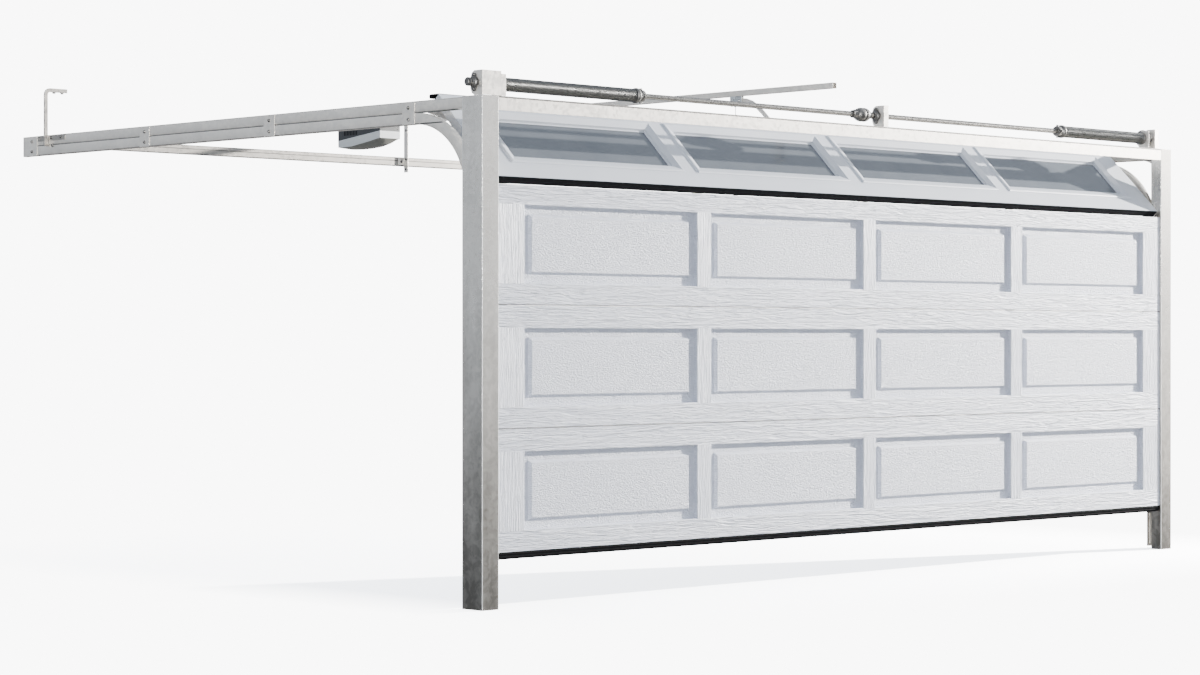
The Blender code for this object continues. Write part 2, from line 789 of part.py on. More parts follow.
# Rear suspension
bar_outline = (
    (BAR_Y, BAR_LOW),
    (BAR_Y + 0.040, BAR_LOW),
    (BAR_Y + 0.040, BAR_LOW + SHEET),
    (BAR_Y + SHEET, BAR_LOW + SHEET),
    (BAR_Y + SHEET, BAR_HIGH - SHEET),
    (BAR_Y + 0.040, BAR_HIGH - SHEET),
    (BAR_Y + 0.040, BAR_HIGH),
    (BAR_Y, BAR_HIGH),
)
bar_end = TRACK_IN - GAP
node("rear_crossbar", prism("X", bar_outline, -bar_end, bar_end), "galvanised")


def bent_bar(x_foot, z_foot, x_leg, z_top, thickness, radius):
    """The outline of a bar that rises at x_foot and turns over to x_leg through a rounded bend."""
    turn = 1 if x_leg > x_foot else -1
    outline = [(x_foot, z_foot)]
    for step in range(5):
        angle = math.radians(90 * step / 4)
        x = x_foot + turn * radius * (1 - math.cos(angle))
        outline.append((x, z_top - radius + radius * math.sin(angle)))
    outline.append((x_leg, z_top))
    outline.append((x_leg, z_top - thickness))
    for step in range(5):
        angle = math.radians(90 - 90 * step / 4)
        reach = radius - thickness
        x = x_foot + turn * (radius - reach * math.cos(angle))
        outline.append((x, z_top - radius + reach * math.sin(angle)))
    outline.append((x_foot + turn * thickness, z_foot))
    return outline


# Hangers: an upright bar on a clip that is bolted along the upper track
clip_in, clip_out = TRACK_OUT + GAP, plate_out + GAP
for side, flip in sides():
    outline = bent_bar(clip_out + HANGER_BAR, HANGER_FOOT, HANGER_LEG, HANGER_TOP, HANGER_BAR,
                       HANGER_BEND)
    bar = prism("Y", outline, HANGER_Y - HANGER_HALF, HANGER_Y + HANGER_HALF)
    clip = block(clip_in, clip_out + 0.001, *CLIP_SPAN, *CLIP_HEIGHTS)
    node(side + "_hanger", combined(bar, [clip]), "galvanised", flip=flip)

outline = bent_bar(-0.097, 2.110, 0.042, RAIL_LOW - GAP, STRAP, STRAP_BEND)
strap_end = BAR_Y - GAP
strap = prism("Y", outline, strap_end - 2 * STRAP_HALF, strap_end)
tab = block(-0.140, -0.094, strap_end - 0.0035, strap_end, 2.152, 2.192)
node("opener_support", combined(strap, [tab]), "galvanised")

# Opener: rail, motor unit and trolley
rail_outline = (
    (-RAIL_SLOT, RAIL_LOW),
    (-RAIL_HALF, RAIL_LOW),
    (-RAIL_HALF, RAIL_HIGH),
    (RAIL_HALF, RAIL_HIGH),
    (RAIL_HALF, RAIL_LOW),
    (RAIL_SLOT, RAIL_LOW),
    (RAIL_SLOT, RAIL_LOW + RAIL_WALL),
    (RAIL_HALF - RAIL_WALL, RAIL_LOW + RAIL_WALL),
    (RAIL_HALF - RAIL_WALL, RAIL_HIGH - RAIL_WALL),
    (RAIL_WALL - RAIL_HALF, RAIL_HIGH - RAIL_WALL),
    (RAIL_WALL - RAIL_HALF, RAIL_LOW + RAIL_WALL),
    (-RAIL_SLOT, RAIL_LOW + RAIL_WALL),
)
node("opener_rail", prism("Y", rail_outline, RAIL_FRONT, RAIL_BACK), "galvanised")

chassis_outline = (
    (MOTOR_FRONT, 2.3658),
    (MOTOR_BACK, 2.3229),
    (MOTOR_BACK, RAIL_LOW - 0.008),
    (MOTOR_BACK - 0.012, RAIL_LOW - GAP),
    (MOTOR_FRONT, RAIL_LOW - GAP),
)
chassis = prism("X", chassis_outline, -MOTOR_HALF, MOTOR_HALF)
hood = block(-0.060, 0.060, RAIL_BACK + GAP, MOTOR_BACK - 0.020, 2.390, RAIL_HIGH)
node("motor_chassis", combined(chassis, [hood]), "dark_plastic")

BELLY = (
    (MOTOR_FRONT, 2.3655, 2.3230, 2.3225),
    (3.690, 2.3610, 2.3180, 2.2900),
    (3.750, 2.3543, 2.3080, 2.2765),
    (3.830, 2.3454, 2.2965, 2.2705),
    (3.910, 2.3365, 2.2855, 2.2695),
    (3.990, 2.3276, 2.2820, 2.2720),
    (MOTOR_BACK, 2.3226, 2.2840, 2.2790),
)
points = []
for y, seam, edge, keel in BELLY:
    points += [(-MOTOR_HALF, y, seam), (MOTOR_HALF, y, seam)]
    for t in (1.0, 0.66, 0.33, 0.0, -0.33, -0.66, -1.0):
        points.append((MOTOR_HALF * t, y, keel + (edge - keel) * t * t))
ring = 9
faces = [list(range(ring)), list(range(len(points) - ring, len(points)))]
for start in range(0, len(points) - ring, ring):
    for i in range(ring):
        j = (i + 1) % ring
        faces.append([start + i, start + j, start + ring + j, start + ring + i])
cover = mesh_from(points, faces)
node("motor_cover", cover, "grey_plastic", smooth=True)

body_low = 2.3620
body_high = RAIL_LOW - GAP
body = block(-0.018, 0.018, 0.890, TROLLEY_END, body_low, body_high)
inside = RAIL_LOW + RAIL_WALL
pieces = [block(-0.0045, 0.0045, 0.900, 0.920, body_high - 0.001, inside + 0.002)]
pieces.append(block(-0.0110, 0.0110, 0.895, 0.980, inside + 0.0006, 2.4160))
for x0, x1 in ((-0.0090, -0.0045), (0.0045, 0.0090)):
    pieces.append(block(x0, x1, 0.856, 0.891, body_low, body_high))
pieces.append(rod("X", (TROLLEY_Y, TROLLEY_Z), 0.0040, -0.0080, 0.0080, 12))
for x0, x1 in ((-0.0150, -0.0100), (0.0100, 0.0150)):
    pieces.append(block(x0, x1, 0.912, 0.925, 2.3450, body_low + 0.001))
node("trolley", combined(body, pieces), "grey_plastic", joint=trolley)

lever_outline = (
    (0.8975, 2.3505),
    (0.920, 2.3500),
    (0.924, LEVER_Z),
    (0.920, 2.3590),
    (0.8975, 2.3560),
)
bar = prism("X", lever_outline, -0.0080, 0.0080)
node("release_lever", bar, "red_plastic", joint=release)

# Door arm: a flat bar, bent near the trolley, that runs down to the top section
arm = joint_empty("door_arm_axis", 0, 0, 0)
arm.parent = trolley
foot_y, foot_z = on_top(*ARM_FOOT)
spine = (
    (TROLLEY_Y, TROLLEY_Z),
    (0.830, 2.3720),
    (0.788, 2.3580),
    (0.750, 2.3340),
    (0.715, 2.3050),
    (0.682, 2.2730),
    (foot_y, foot_z),
)
arm_outline = [(-0.0115, -0.0025), (0.0115, -0.0025), (0.0115, 0.0025), (-0.0115, 0.0025)]
bar = sweep(spine, arm_outline)
head = rod("X", (TROLLEY_Y, TROLLEY_Z), 0.0115, -0.0025, 0.0025, 16)
toe = rod("X", (foot_y, foot_z), 0.0115, -0.0025, 0.0025, 16)
bar = combined(bar, [head, toe])
hole = rod("X", (TROLLEY_Y, TROLLEY_Z), 0.0045, -0.01, 0.01, 12)
bar = combined(bar, [hole], "DIFFERENCE")
part = node("door_arm", bar, "galvanised")
for corner in part.data.vertices:
    corner.co -= trolley.location
part.parent = arm

# Release cord and its handle
CORD_ROUTE = (
    (0.0000, 0.9050, 2.3500),
    (0.0000, 0.9050, 2.3400),
    (0.0002, 0.9050, 2.3200),
    (0.0005, 0.9051, 2.2900),
    (0.0009, 0.9053, 2.2600),
    (0.0012, 0.9055, 2.2300),
    (0.0014, 0.9057, 2.2000),
    (0.0015, 0.9058, 2.1700),
    (0.0014, 0.9059, 2.1400),
    (0.0012, 0.9058, 2.1100),
    (0.0009, 0.9057, 2.0800),
    (0.0006, 0.9055, 2.0500),
    (0.0003, 0.9053, 2.0200),
    (0.0001, 0.9051, 1.9900),
    (0.0000, 0.9050, 1.9600),
    (0.0000, 0.9050, 1.9300),
    (0.0000, 0.9050, 1.9000),
)


def smooth_route(route, step):
    """Points about one step apart on a smooth curve through the route's own points."""
    spots = [Vector(spot) for spot in route]
    spots = [spots[0] * 2 - spots[1]] + spots + [spots[-1] * 2 - spots[-2]]
    found = []
    for a, b, c, d in zip(spots, spots[1:], spots[2:], spots[3:]):
        count = max(1, round((c - b).length / step))
        for i in range(count):
            t = i / count
            bend = (c - a) * t + (a * 2 - b * 5 + c * 4 - d) * t**2
            bend += (b * 3 - a - c * 3 + d) * t**3
            found.append(b + bend / 2)
    return found + [spots[-2]]


cord_curve = bpy.data.curves.new("release_cord", "CURVE")
cord_curve.dimensions = "3D"
cord_curve.bevel_depth = CORD_RADIUS
cord_curve.bevel_resolution = 2
cord_curve.use_fill_caps = True
spline = cord_curve.splines.new("POLY")
stations = smooth_route(CORD_ROUTE, CORD_STEP)
spline.points.add(len(stations) - 1)
for point, spot in zip(spline.points, stations):
    point.co = (*(spot - release.location), 1)
cord = bpy.data.objects.new("release_cord", cord_curve)
cord.data.materials.append(material_for("release_cord", "red_plastic"))
bpy.context.scene.collection.objects.link(cord)
cord.parent = release
handle_top = CORD_TOP - CORD_LENGTH - GAP
handle_profile = (
    (0, handle_top),
    (0.007, handle_top),
    (0.012, handle_top - 0.012),
    (0.010, handle_top - 0.030),
    (0.015, handle_top - 0.060),
    (0.011, handle_top - 0.070),
    (0, handle_top - 0.070),
)
handle = lathe("Z", (0, CORD_Y), handle_profile, 16)
node("release_handle", handle, "red_plastic", joint=release, smooth=True)
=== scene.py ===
"""Studio view of a sectional garage door and its ceiling opener, built round the CAD frame.

Metres, +Z up. X runs across the doorway, Y runs into the garage, and the origin is on the floor
in the middle of the doorway. CAD parts stay where they are and get materials and rounded edges;
springs, tracks, castings, rollers and fixings are finer pieces that ride on the same bodies.
"""

import math

import bmesh
import bpy
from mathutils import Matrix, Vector


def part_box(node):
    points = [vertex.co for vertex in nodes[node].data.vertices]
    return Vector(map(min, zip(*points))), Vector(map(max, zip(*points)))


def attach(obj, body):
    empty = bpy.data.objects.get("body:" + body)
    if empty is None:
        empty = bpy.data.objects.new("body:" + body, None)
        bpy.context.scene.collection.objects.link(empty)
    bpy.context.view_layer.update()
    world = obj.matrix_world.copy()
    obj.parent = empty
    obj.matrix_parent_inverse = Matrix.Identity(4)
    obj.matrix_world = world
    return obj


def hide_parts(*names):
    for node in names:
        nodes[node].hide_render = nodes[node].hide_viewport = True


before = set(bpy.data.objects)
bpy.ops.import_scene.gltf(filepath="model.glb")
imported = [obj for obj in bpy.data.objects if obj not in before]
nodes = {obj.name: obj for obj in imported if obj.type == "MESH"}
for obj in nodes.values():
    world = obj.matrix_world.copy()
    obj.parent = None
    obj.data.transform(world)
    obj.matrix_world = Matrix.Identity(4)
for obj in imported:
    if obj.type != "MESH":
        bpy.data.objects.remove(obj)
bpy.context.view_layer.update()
scene = bpy.context.scene

SIDES = (("left", -1), ("right", 1))
TILT = math.radians(45)
SHARP = math.radians(35)
HINGE_Y = 0.050
HINGE_Z = 1.8275
PANEL_START = -2.2966
PANEL_PITCH = 1.1702
PANEL_WIDTH = 1.0822
PANEL_FOOT = 0.093
PANEL_HEAD = 0.436
DOOR_BASE = 0.2375
SECTION_PITCH = 0.5333
STILE_WIDTH = PANEL_PITCH - PANEL_WIDTH
STILE_CENTRES = [PANEL_START + PANEL_PITCH * i - STILE_WIDTH / 2 for i in (1, 2, 3)]
END_STILE_X = 2.404
POST_INNER = 2.453
POST_OUTER = 2.547
POST_DEPTH = 0.130
FOLD_CORE = 0.0025
FOLD_FADE = 0.0035
SHAFT = (0.049, 2.2555)
TRACK_IN = 2.501
TRACK_OUT = 2.529
PLATE_FACE = 2.531
ROLLER_Y = 0.104
LOWER_Z = 2.12225
UPPER_Z = 2.17475
BEND_RADIUS = 0.360
TRACK_END = 3.573
PLATE_LOW = 2.0985
PLATE_HIGH = 2.1985
HANGER_Y = 3.349

# ---------------------------------------------------------------- camera

LENS = 84.53
EYE = (-10.551, -8.9465, 1.1646)
HEADING = math.radians(44.21)

camera = bpy.data.objects.new("camera", bpy.data.cameras.new("camera"))
camera.data.lens = LENS
camera.data.sensor_width = 36
camera.data.clip_end = 200
camera.location = EYE
camera.rotation_euler = (math.pi / 2, 0, -HEADING)
scene.collection.objects.link(camera)
scene.camera = camera


# ---------------------------------------------------------------- materials


class Look:
    """A procedural material, built up node by node on the object's own coordinates in metres."""

    def __init__(self, name, colour, roughness, metallic=0.0):
        self.material = bpy.data.materials.new(name)
        self.material.use_nodes = True
        self.tree = self.material.node_tree
        self.shader = self.tree.nodes["Principled BSDF"]
        self.set("Base Color", (*colour, 1))
        self.set("Roughness", roughness)
        self.set("Metallic", metallic)
        self.material.diffuse_color = (*colour, 1)
        self.place = self.add("ShaderNodeTexCoord").outputs["Object"]

    def set(self, socket, value):
        self.shader.inputs[socket].default_value = value

    def join(self, source, socket):
        self.tree.links.new(source, self.shader.inputs[socket])

    def add(self, kind, inputs=(), **settings):
        """A node with these settings and with its inputs linked or set, by name or number."""
        made = self.tree.nodes.new(kind)
        for key, value in settings.items():
            setattr(made, key, value)
        for key, value in dict(inputs).items():
            if isinstance(value, bpy.types.NodeSocket):
                self.tree.links.new(value, made.inputs[key])
            else:
                made.inputs[key].default_value = value
        return made

    def stretched(self, scale):
        mapping = self.add("ShaderNodeMapping", {"Vector": self.place, "Scale": scale})
        return mapping.outputs["Vector"]

    def noise(self, scale, detail=3, stretch=None, distortion=0.0):
        source = self.stretched(stretch) if stretch else self.place
        inputs = {"Vector": source, "Scale": scale, "Detail": detail, "Distortion": distortion}
        return self.add("ShaderNodeTexNoise", inputs).outputs["Fac"]

    def cells(self, scale):
        """One random value for each crystal-like cell."""
        inputs = {"Vector": self.place, "Scale": scale}
        colour = self.add("ShaderNodeTexVoronoi", inputs).outputs["Color"]
        return self.add("ShaderNodeSeparateColor", {"Color": colour}).outputs["Red"]

    def remap(self, value, low, high, to_low=0.0, to_high=1.0):
        inputs = {"Value": value, 1: low, 2: high, 3: to_low, 4: to_high}
        return self.add("ShaderNodeMapRange", inputs).outputs["Result"]

    def math(self, operation, first, second=0.0):
        made = self.add("ShaderNodeMath", {0: first, 1: second}, operation=operation)
        return made.outputs["Value"]

    def axis(self, letter):
        return self.add("ShaderNodeSeparateXYZ", {"Vector": self.place}).outputs[letter]

    def facing_up(self):
        """How far the surface faces up, from -1 to 1, on the object's own axes."""
        facing = self.add("ShaderNodeTexCoord").outputs["Normal"]
        return self.add("ShaderNodeSeparateXYZ", {"Vector": facing}).outputs["Z"]

    def mix(self, factor, first, second):
        """A colour or a value between the first, at 0, and the second, at 1."""
        if isinstance(first, tuple) or isinstance(second, tuple):
            sockets = (6, 7, 2)
            kind = "RGBA"
            first = (*first, 1) if isinstance(first, tuple) else first
            second = (*second, 1) if isinstance(second, tuple) else second
        else:
            sockets = (2, 3, 0)
            kind = "FLOAT"
        inputs = {0: factor, sockets[0]: first, sockets[1]: second}
        return self.add("ShaderNodeMix", inputs, data_type=kind).outputs[sockets[2]]

    def bump(self, height, strength, distance):
        inputs = {"Height": height, "Strength": strength, "Distance": distance}
        self.join(self.add("ShaderNodeBump", inputs).outputs["Normal"], "Normal")


def fold_highlight_mask(look):
    """1 along the folded upright corners of a post, where a highlight is painted, and 0 elsewhere."""
    across = look.math("ABSOLUTE", look.axis("X"))
    deep = look.axis("Y")
    outer = look.remap(across, POST_OUTER - FOLD_FADE, POST_OUTER - FOLD_CORE)
    inner = look.remap(across, POST_INNER + FOLD_FADE, POST_INNER + FOLD_CORE)
    front = look.remap(deep, FOLD_FADE, FOLD_CORE)
    back = look.remap(deep, POST_DEPTH - FOLD_FADE, POST_DEPTH - FOLD_CORE)
    beside = look.math("MAXIMUM", outer, inner)
    return look.math("MULTIPLY", beside, look.math("MAXIMUM", front, back))


def painted_edge_shade(look, colour, shade_lines):
    """Paints shade as dark lines on upright faces along rolled edges, each given as a height and half its
    width.
    """
    upright = look.math("LESS_THAN", look.math("ABSOLUTE", look.facing_up()), 0.5)
    for height, half in shade_lines:
        away = look.math("ABSOLUTE", look.math("SUBTRACT", look.axis("Z"), height))
        shade_line = look.math("MULTIPLY", upright, look.math("LESS_THAN", away, half))
        colour = look.mix(shade_line, colour, (0.10, 0.095, 0.09))
    return colour


def galvanised(name, bright=1.0, stains_and_fold_highlight=False, edges=()):
    """Hot-dip zinc: spangle and dull patches; a post darkens towards its foot, partly stains and partly
    painted shade, and carries a painted highlight along its folded corners.
    """
    look = Look(name, tuple(c * bright for c in (0.80, 0.76, 0.70)), 0.45, 0.65)
    spangle = look.remap(look.cells(70), 0, 1, -0.07, 0.07)
    patches = look.remap(look.noise(7, 4), 0.3, 0.7, -0.12, 0.12)
    shade = look.math("ADD", look.math("ADD", spangle, patches), 0.5)
    dull = tuple(c * bright for c in (0.60, 0.565, 0.51))
    clean = tuple(c * bright for c in (0.98, 0.935, 0.865))
    colour = look.mix(shade, dull, clean)
    rough = look.remap(look.cells(70), 0, 1, 0.36, 0.55)
    if stains_and_fold_highlight:
        # darker towards the foot, with streaks and blots: partly stains, partly painted shade
        streaks = look.remap(look.noise(1, 5, (14, 14, 3)), 0.3, 0.7, -0.14, 0.14)
        blots = look.remap(look.noise(26, 3, distortion=0.8), 0.42, 0.60, -0.06, 0.08)
        foot = look.remap(look.axis("Z"), 0.05, 1.45, 0.92, 0.04)
        stain_and_shade = look.remap(look.math("ADD", look.math("ADD", foot, streaks), blots), 0.0, 1.0)
        colour = look.mix(stain_and_shade, colour, (0.165, 0.155, 0.140))
        rough = look.remap(stain_and_shade, 0.0, 1.0, 0.27, 0.33)
        # painted highlight: near-white colour and less metallic along the post's folded corners
        fold_highlight = fold_highlight_mask(look)
        colour = look.mix(fold_highlight, colour, (1.0, 0.98, 0.94))
        look.set("Specular IOR Level", 0.15)
        look.join(look.remap(fold_highlight, 0.0, 1.0, 0.92, 0.30), "Metallic")
    # painted shade lines along the rolled edges given
    colour = painted_edge_shade(look, colour, edges)
    look.join(colour, "Base Color")
    look.join(rough, "Roughness")
    look.bump(look.noise(260, 3), 0.15, 0.0006)
    return look.material


def grain(look, stretch, wander):
    """Embossed wood grain as a height: long fibres that wander, broken by shorter ticks."""
    fibre = look.noise(1, 4, stretch, wander)
    ticks = look.noise(1, 2, tuple(3.2 * s for s in stretch), 0.4)
    return look.math("ADD", fibre, look.math("MULTIPLY", look.remap(ticks, 0.55, 0.75), 0.35))


def painted_door(name, low):
    """Satin white enamel on wood-grain emboss; fittings behind the skin are galvanised."""
    look = Look(name, (0.80, 0.835, 0.89), 0.48)
    look.set("Specular IOR Level", 0.9)
    x, z = look.axis("X"), look.axis("Z")
    turn = look.math("DIVIDE", look.math("SUBTRACT", x, PANEL_START), PANEL_PITCH)
    share = look.math("FRACT", look.math("ADD", turn, 4.0))
    in_panel = look.math("LESS_THAN", share, PANEL_WIDTH / PANEL_PITCH)
    first = look.math("GREATER_THAN", x, PANEL_START)
    last = look.math("LESS_THAN", x, -PANEL_START)
    in_panel = look.math("MULTIPLY", look.math("MULTIPLY", first, last), in_panel)
    level = look.math("SUBTRACT", z, low)
    above = look.math("GREATER_THAN", level, PANEL_FOOT)
    band = look.math("MULTIPLY", above, look.math("LESS_THAN", level, PANEL_HEAD))
    stile = look.math("MULTIPLY", band, look.math("SUBTRACT", 1.0, in_panel))
    field = look.math("MULTIPLY", band, in_panel)
    rails = look.math("MULTIPLY", grain(look, (5, 9, 60), 1.4), 1.3)
    swirls = look.math("MULTIPLY", grain(look, (30, 20, 80), 2.6), 0.9)
    fibres = look.math("MULTIPLY", grain(look, (90, 9, 5), 1.6), 1.6)
    height = look.mix(stile, look.mix(field, rails, swirls), fibres)
    look.bump(height, 1.0, 0.0075)
    mottle = look.remap(height, 0.3, 1.3)
    paint = look.mix(mottle, (0.735, 0.77, 0.87), (0.865, 0.895, 0.975))
    joint = look.math("LESS_THAN", level, 0.0048)
    paint = look.mix(joint, paint, (0.10, 0.105, 0.115))
    behind = look.math("GREATER_THAN", look.axis("Y"), HINGE_Y + 0.0006)
    look.join(look.mix(behind, paint, (0.6, 0.6, 0.6)), "Base Color")
    look.join(look.math("MULTIPLY", behind, 0.7), "Metallic")
    return look.material


def top_enamel_painted_shade(name):
    """The door's enamel on the tilted top section, darkened all over as painted shade; its frame is
    smooth.
    """
    look = Look(name, (0.80, 0.835, 0.89), 0.4)
    fibre = look.noise(1, 4, (5, 60, 60), 1.0)
    look.bump(fibre, 0.3, 0.0012)
    y = look.math("SUBTRACT", look.axis("Y"), HINGE_Y)
    z = look.math("SUBTRACT", look.axis("Z"), HINGE_Z)
    rise = look.math("MULTIPLY", look.math("SUBTRACT", y, z), math.cos(TILT))
    behind = look.math("GREATER_THAN", rise, 0.0006)
    mottle = look.remap(look.noise(3, 3), 0.3, 0.7)
    # darker than the lower sections' enamel: painted shade
    paint = look.mix(mottle, (0.65, 0.68, 0.735), (0.70, 0.73, 0.78))
    look.join(look.mix(behind, paint, (0.6, 0.6, 0.6)), "Base Color")
    look.join(look.math("MULTIPLY", behind, 0.7), "Metallic")
    return look.material


def metal(name, dark, light, roughness, metallic, grit, brushed=None):
    """A worn metal between a dark and a light tone, with a fine cast or brushed surface."""
    look = Look(name, light, roughness, metallic)
    tone = look.remap(look.noise(40, 4, brushed), 0.3, 0.7)
    look.join(look.mix(tone, dark, light), "Base Color")
    look.join(look.remap(look.noise(90, 3), 0.3, 0.7, roughness * 0.8, roughness * 1.2), "Roughness")
    look.bump(look.noise(grit, 4, brushed), 0.25, 0.0005)
    return look.material


def moulded(name, colour, roughness, grit=900, strength=0.12, gloss=0.5):
    """A moulded plastic or rubber with a fine texture and slightly uneven colour."""
    look = Look(name, colour, roughness)
    look.set("Specular IOR Level", gloss)
    tone = look.remap(look.noise(12, 4), 0.3, 0.7)
    look.join(look.mix(tone, tuple(c * 0.88 for c in colour), colour), "Base Color")
    look.join(look.remap(look.noise(60, 3), 0.3, 0.7, roughness * 0.85, roughness * 1.1), "Roughness")
    look.bump(look.noise(grit, 2), strength, 0.0003)
    return look.material


def underside_shaded_plastic(name):
    """Grey moulded plastic with painted shade on its underside, which is darker than its sides."""
    look = Look(name, (0.74, 0.76, 0.75), 0.42)
    # painted shade: faces that point down get a darker colour
    shaded_underside = look.remap(look.facing_up(), -0.45, -0.75)
    look.join(look.mix(shaded_underside, (0.74, 0.76, 0.75), (0.23, 0.23, 0.205)), "Base Color")
    look.bump(look.noise(900, 2), 0.12, 0.0003)
    return look.material


def tinted_glass(name):
    """Grey obscured glass: light goes into it but little is seen through it."""
    look = Look(name, (0.17, 0.19, 0.215), 0.12)
    haze = look.remap(look.noise(5, 3), 0.3, 0.7)
    look.join(look.mix(haze, (0.155, 0.175, 0.20), (0.185, 0.205, 0.23)), "Base Color")
    look.set("Transmission Weight", 0.25)
    look.set("IOR", 1.5)
    look.bump(look.noise(3, 2), 0.04, 0.002)
    return look.material


def braided(name, colour):
    """A thin braided cord: crossing strands round its length."""
    look = Look(name, colour, 0.8)
    inputs = {"Vector": look.stretched((600, 600, 420)), "Scale": 1.0}
    weave = look.add("ShaderNodeTexWave", inputs, bands_direction="DIAGONAL").outputs["Fac"]
    look.join(look.mix(weave, tuple(c * 0.55 for c in colour), colour), "Base Color")
    look.bump(weave, 0.5, 0.0004)
    return look.material


ZINC = galvanised("zinc")
ZINC_POST = galvanised("zinc_post", 0.94, True)
ZINC_BRIGHT = galvanised("zinc_bright", 1.02)
# darker copy of the zinc, used as painted shade
ZINC_SHADE = galvanised("zinc_shade", 0.60)
# darker copy of the zinc for the hangers: painted shade on their side away from the key
ZINC_HANGER_SHADED = galvanised("zinc_hanger_shaded", 0.44)
# crossbar, track and header zinc carry painted shade lines at their rolled edges; the crossbar's zinc is
# darkened all over as painted shade
ZINC_BAR_SHADED = galvanised("zinc_bar_shaded", 0.43, edges=((2.1480, 0.0030), (2.1760, 0.0022), (2.1950, 0.0028)))
ZINC_TRACK = galvanised("zinc_track", edges=((PLATE_LOW, 0.0030), (PLATE_HIGH, 0.0022)))
ZINC_HEADER = galvanised("zinc_header", 0.95, edges=((2.2000, 0.0080),))
SHAFT_STEEL = metal("shaft_steel", (0.15, 0.145, 0.135), (0.19, 0.185, 0.175), 0.30, 0.9, 200, (0.1, 3, 3))
SPRING_STEEL = metal("spring_steel", (0.125, 0.125, 0.12), (0.145, 0.145, 0.14), 0.32, 0.8, 300)
CASTING = metal("casting", (0.085, 0.082, 0.078), (0.20, 0.195, 0.185), 0.45, 0.7, 420)
BOLT_STEEL = metal("bolt_steel", (0.25, 0.25, 0.25), (0.48, 0.48, 0.47), 0.38, 0.85, 800)
RUBBER = moulded("rubber_black", (0.010, 0.0105, 0.0115), 0.9, 500, 0.2, 0.06)
NYLON = moulded("nylon_white", (0.66, 0.66, 0.62), 0.45)
DARK_PLASTIC = moulded("dark_plastic", (0.035, 0.038, 0.04), 0.5)
GREY_PLASTIC = moulded("grey_plastic", (0.74, 0.77, 0.78), 0.38)
TRAY_PLASTIC_SHADED_UNDER = underside_shaded_plastic("tray_plastic_shaded_under")
RED_PLASTIC = moulded("red_plastic", (0.42, 0.02, 0.015), 0.4)
WHITE_TRIM = moulded("white_trim", (0.76, 0.80, 0.86), 0.4)
GLASS = tinted_glass("grey_glass")
CORD_FABRIC = braided("cord_fabric", (0.10, 0.035, 0.03))


def round_edges(part, width, segments=2):
    """Rounds every edge that is sharper than SHARP."""
    bevel = part.modifiers.new("edges", "BEVEL")
    bevel.width = width
    bevel.segments = segments
    bevel.limit_method = "ANGLE"
    bevel.angle_limit = SHARP
    bevel.harden_normals = True


def finish_node(name, material, edge=0.0, segments=2):
    """Gives a CAD node its material and, where asked, rounds its sharp edges."""
    part = nodes[name]
    part.data.materials.clear()
    part.data.materials.append(material)
    if edge:
        weld = part.modifiers.new("weld", "WELD")
        weld.merge_threshold = 0.00002
        round_edges(part, edge, segments)


# ---------------------------------------------------------------- shapes


def mesh_of(points, faces):
    """A mesh from its points and its faces, all facing outwards."""
    mesh = bpy.data.meshes.new("shape")
    work = bmesh.new()
    corners = [work.verts.new(point) for point in points]
    for face in faces:
        work.faces.new([corners[i] for i in face])
    bmesh.ops.recalc_face_normals(work, faces=work.faces)
    work.to_mesh(mesh)
    work.free()
    return mesh


def merged(meshes):
    work = bmesh.new()
    for mesh in meshes:
        work.from_mesh(mesh)
    whole = bpy.data.meshes.new("shape")
    work.to_mesh(whole)
    work.free()
    return whole


def along(axis, reach, first, second):
    """A point from its place along an axis and the two coordinates across it."""
    if axis == "X":
        return (reach, first, second)
    if axis == "Y":
        return (first, reach, second)
    return (first, second, reach)


def prism(axis, outline, start, end):
    """An outline drawn out along an axis, from start to end."""
    count = len(outline)
    points = [along(axis, start, *p) for p in outline] + [along(axis, end, *p) for p in outline]
    faces = [list(range(count)), list(range(count, 2 * count))]
    for i in range(count):
        j = (i + 1) % count
        faces.append([i, j, count + j, count + i])
    return mesh_of(points, faces)


def block(x0, x1, y0, y1, z0, z1):
    return prism("Z", ((x0, y0), (x1, y0), (x1, y1), (x0, y1)), z0, z1)


def lathe(axis, centre, profile, steps=32, closed=True):
    """A turned piece from a (radius, along) profile; radius 0 closes it on the axis."""
    points, rings = [], []
    for radius, reach in profile:
        if radius == 0:
            rings.append([len(points)] * steps)
            points.append(along(axis, reach, *centre))
            continue
        rings.append(list(range(len(points), len(points) + steps)))
        for i in range(steps):
            angle = math.tau * (i + 0.5) / steps
            first = centre[0] + radius * math.cos(angle)
            points.append(along(axis, reach, first, centre[1] + radius * math.sin(angle)))
    faces = []
    following = rings[1:] + rings[:1] if closed else rings[1:]
    for here, there in zip(rings, following):
        for i in range(steps):
            j = (i + 1) % steps
            face = list(dict.fromkeys((here[i], here[j], there[j], there[i])))
            if len(face) > 2:
                faces.append(face)
    return mesh_of(points, faces)


def sweep(path, outline):
    """A bar that follows a (y, z) path; its outline is (offset to the path's left, x)."""
    count = len(outline)
    points = []
    for i, spot in enumerate(path):
        before = Vector(path[max(i - 1, 0)])
        after = Vector(path[min(i + 1, len(path) - 1)])
        heading = (after - before).normalized()
        left = Vector((-heading.y, heading.x))
        for offset, x in outline:
            points.append((x, spot[0] + left.x * offset, spot[1] + left.y * offset))
    last = len(points) - count
    faces = [list(range(count)), list(range(last, last + count))]
    for ring in range(0, last, count):
        for i in range(count):
            j = (i + 1) % count
            faces.append([ring + i, ring + j, ring + count + j, ring + count + i])
    return mesh_of(points, faces)


def mirrored(mesh):
    """The mesh on the other side of the door's middle."""
    for corner in mesh.vertices:
        corner.co.x = -corner.co.x
    mesh.flip_normals()
    return mesh


def sided(mesh, sign):
    """A mesh modelled on the right, turned over for the left side."""
    return mirrored(mesh) if sign < 0 else mesh


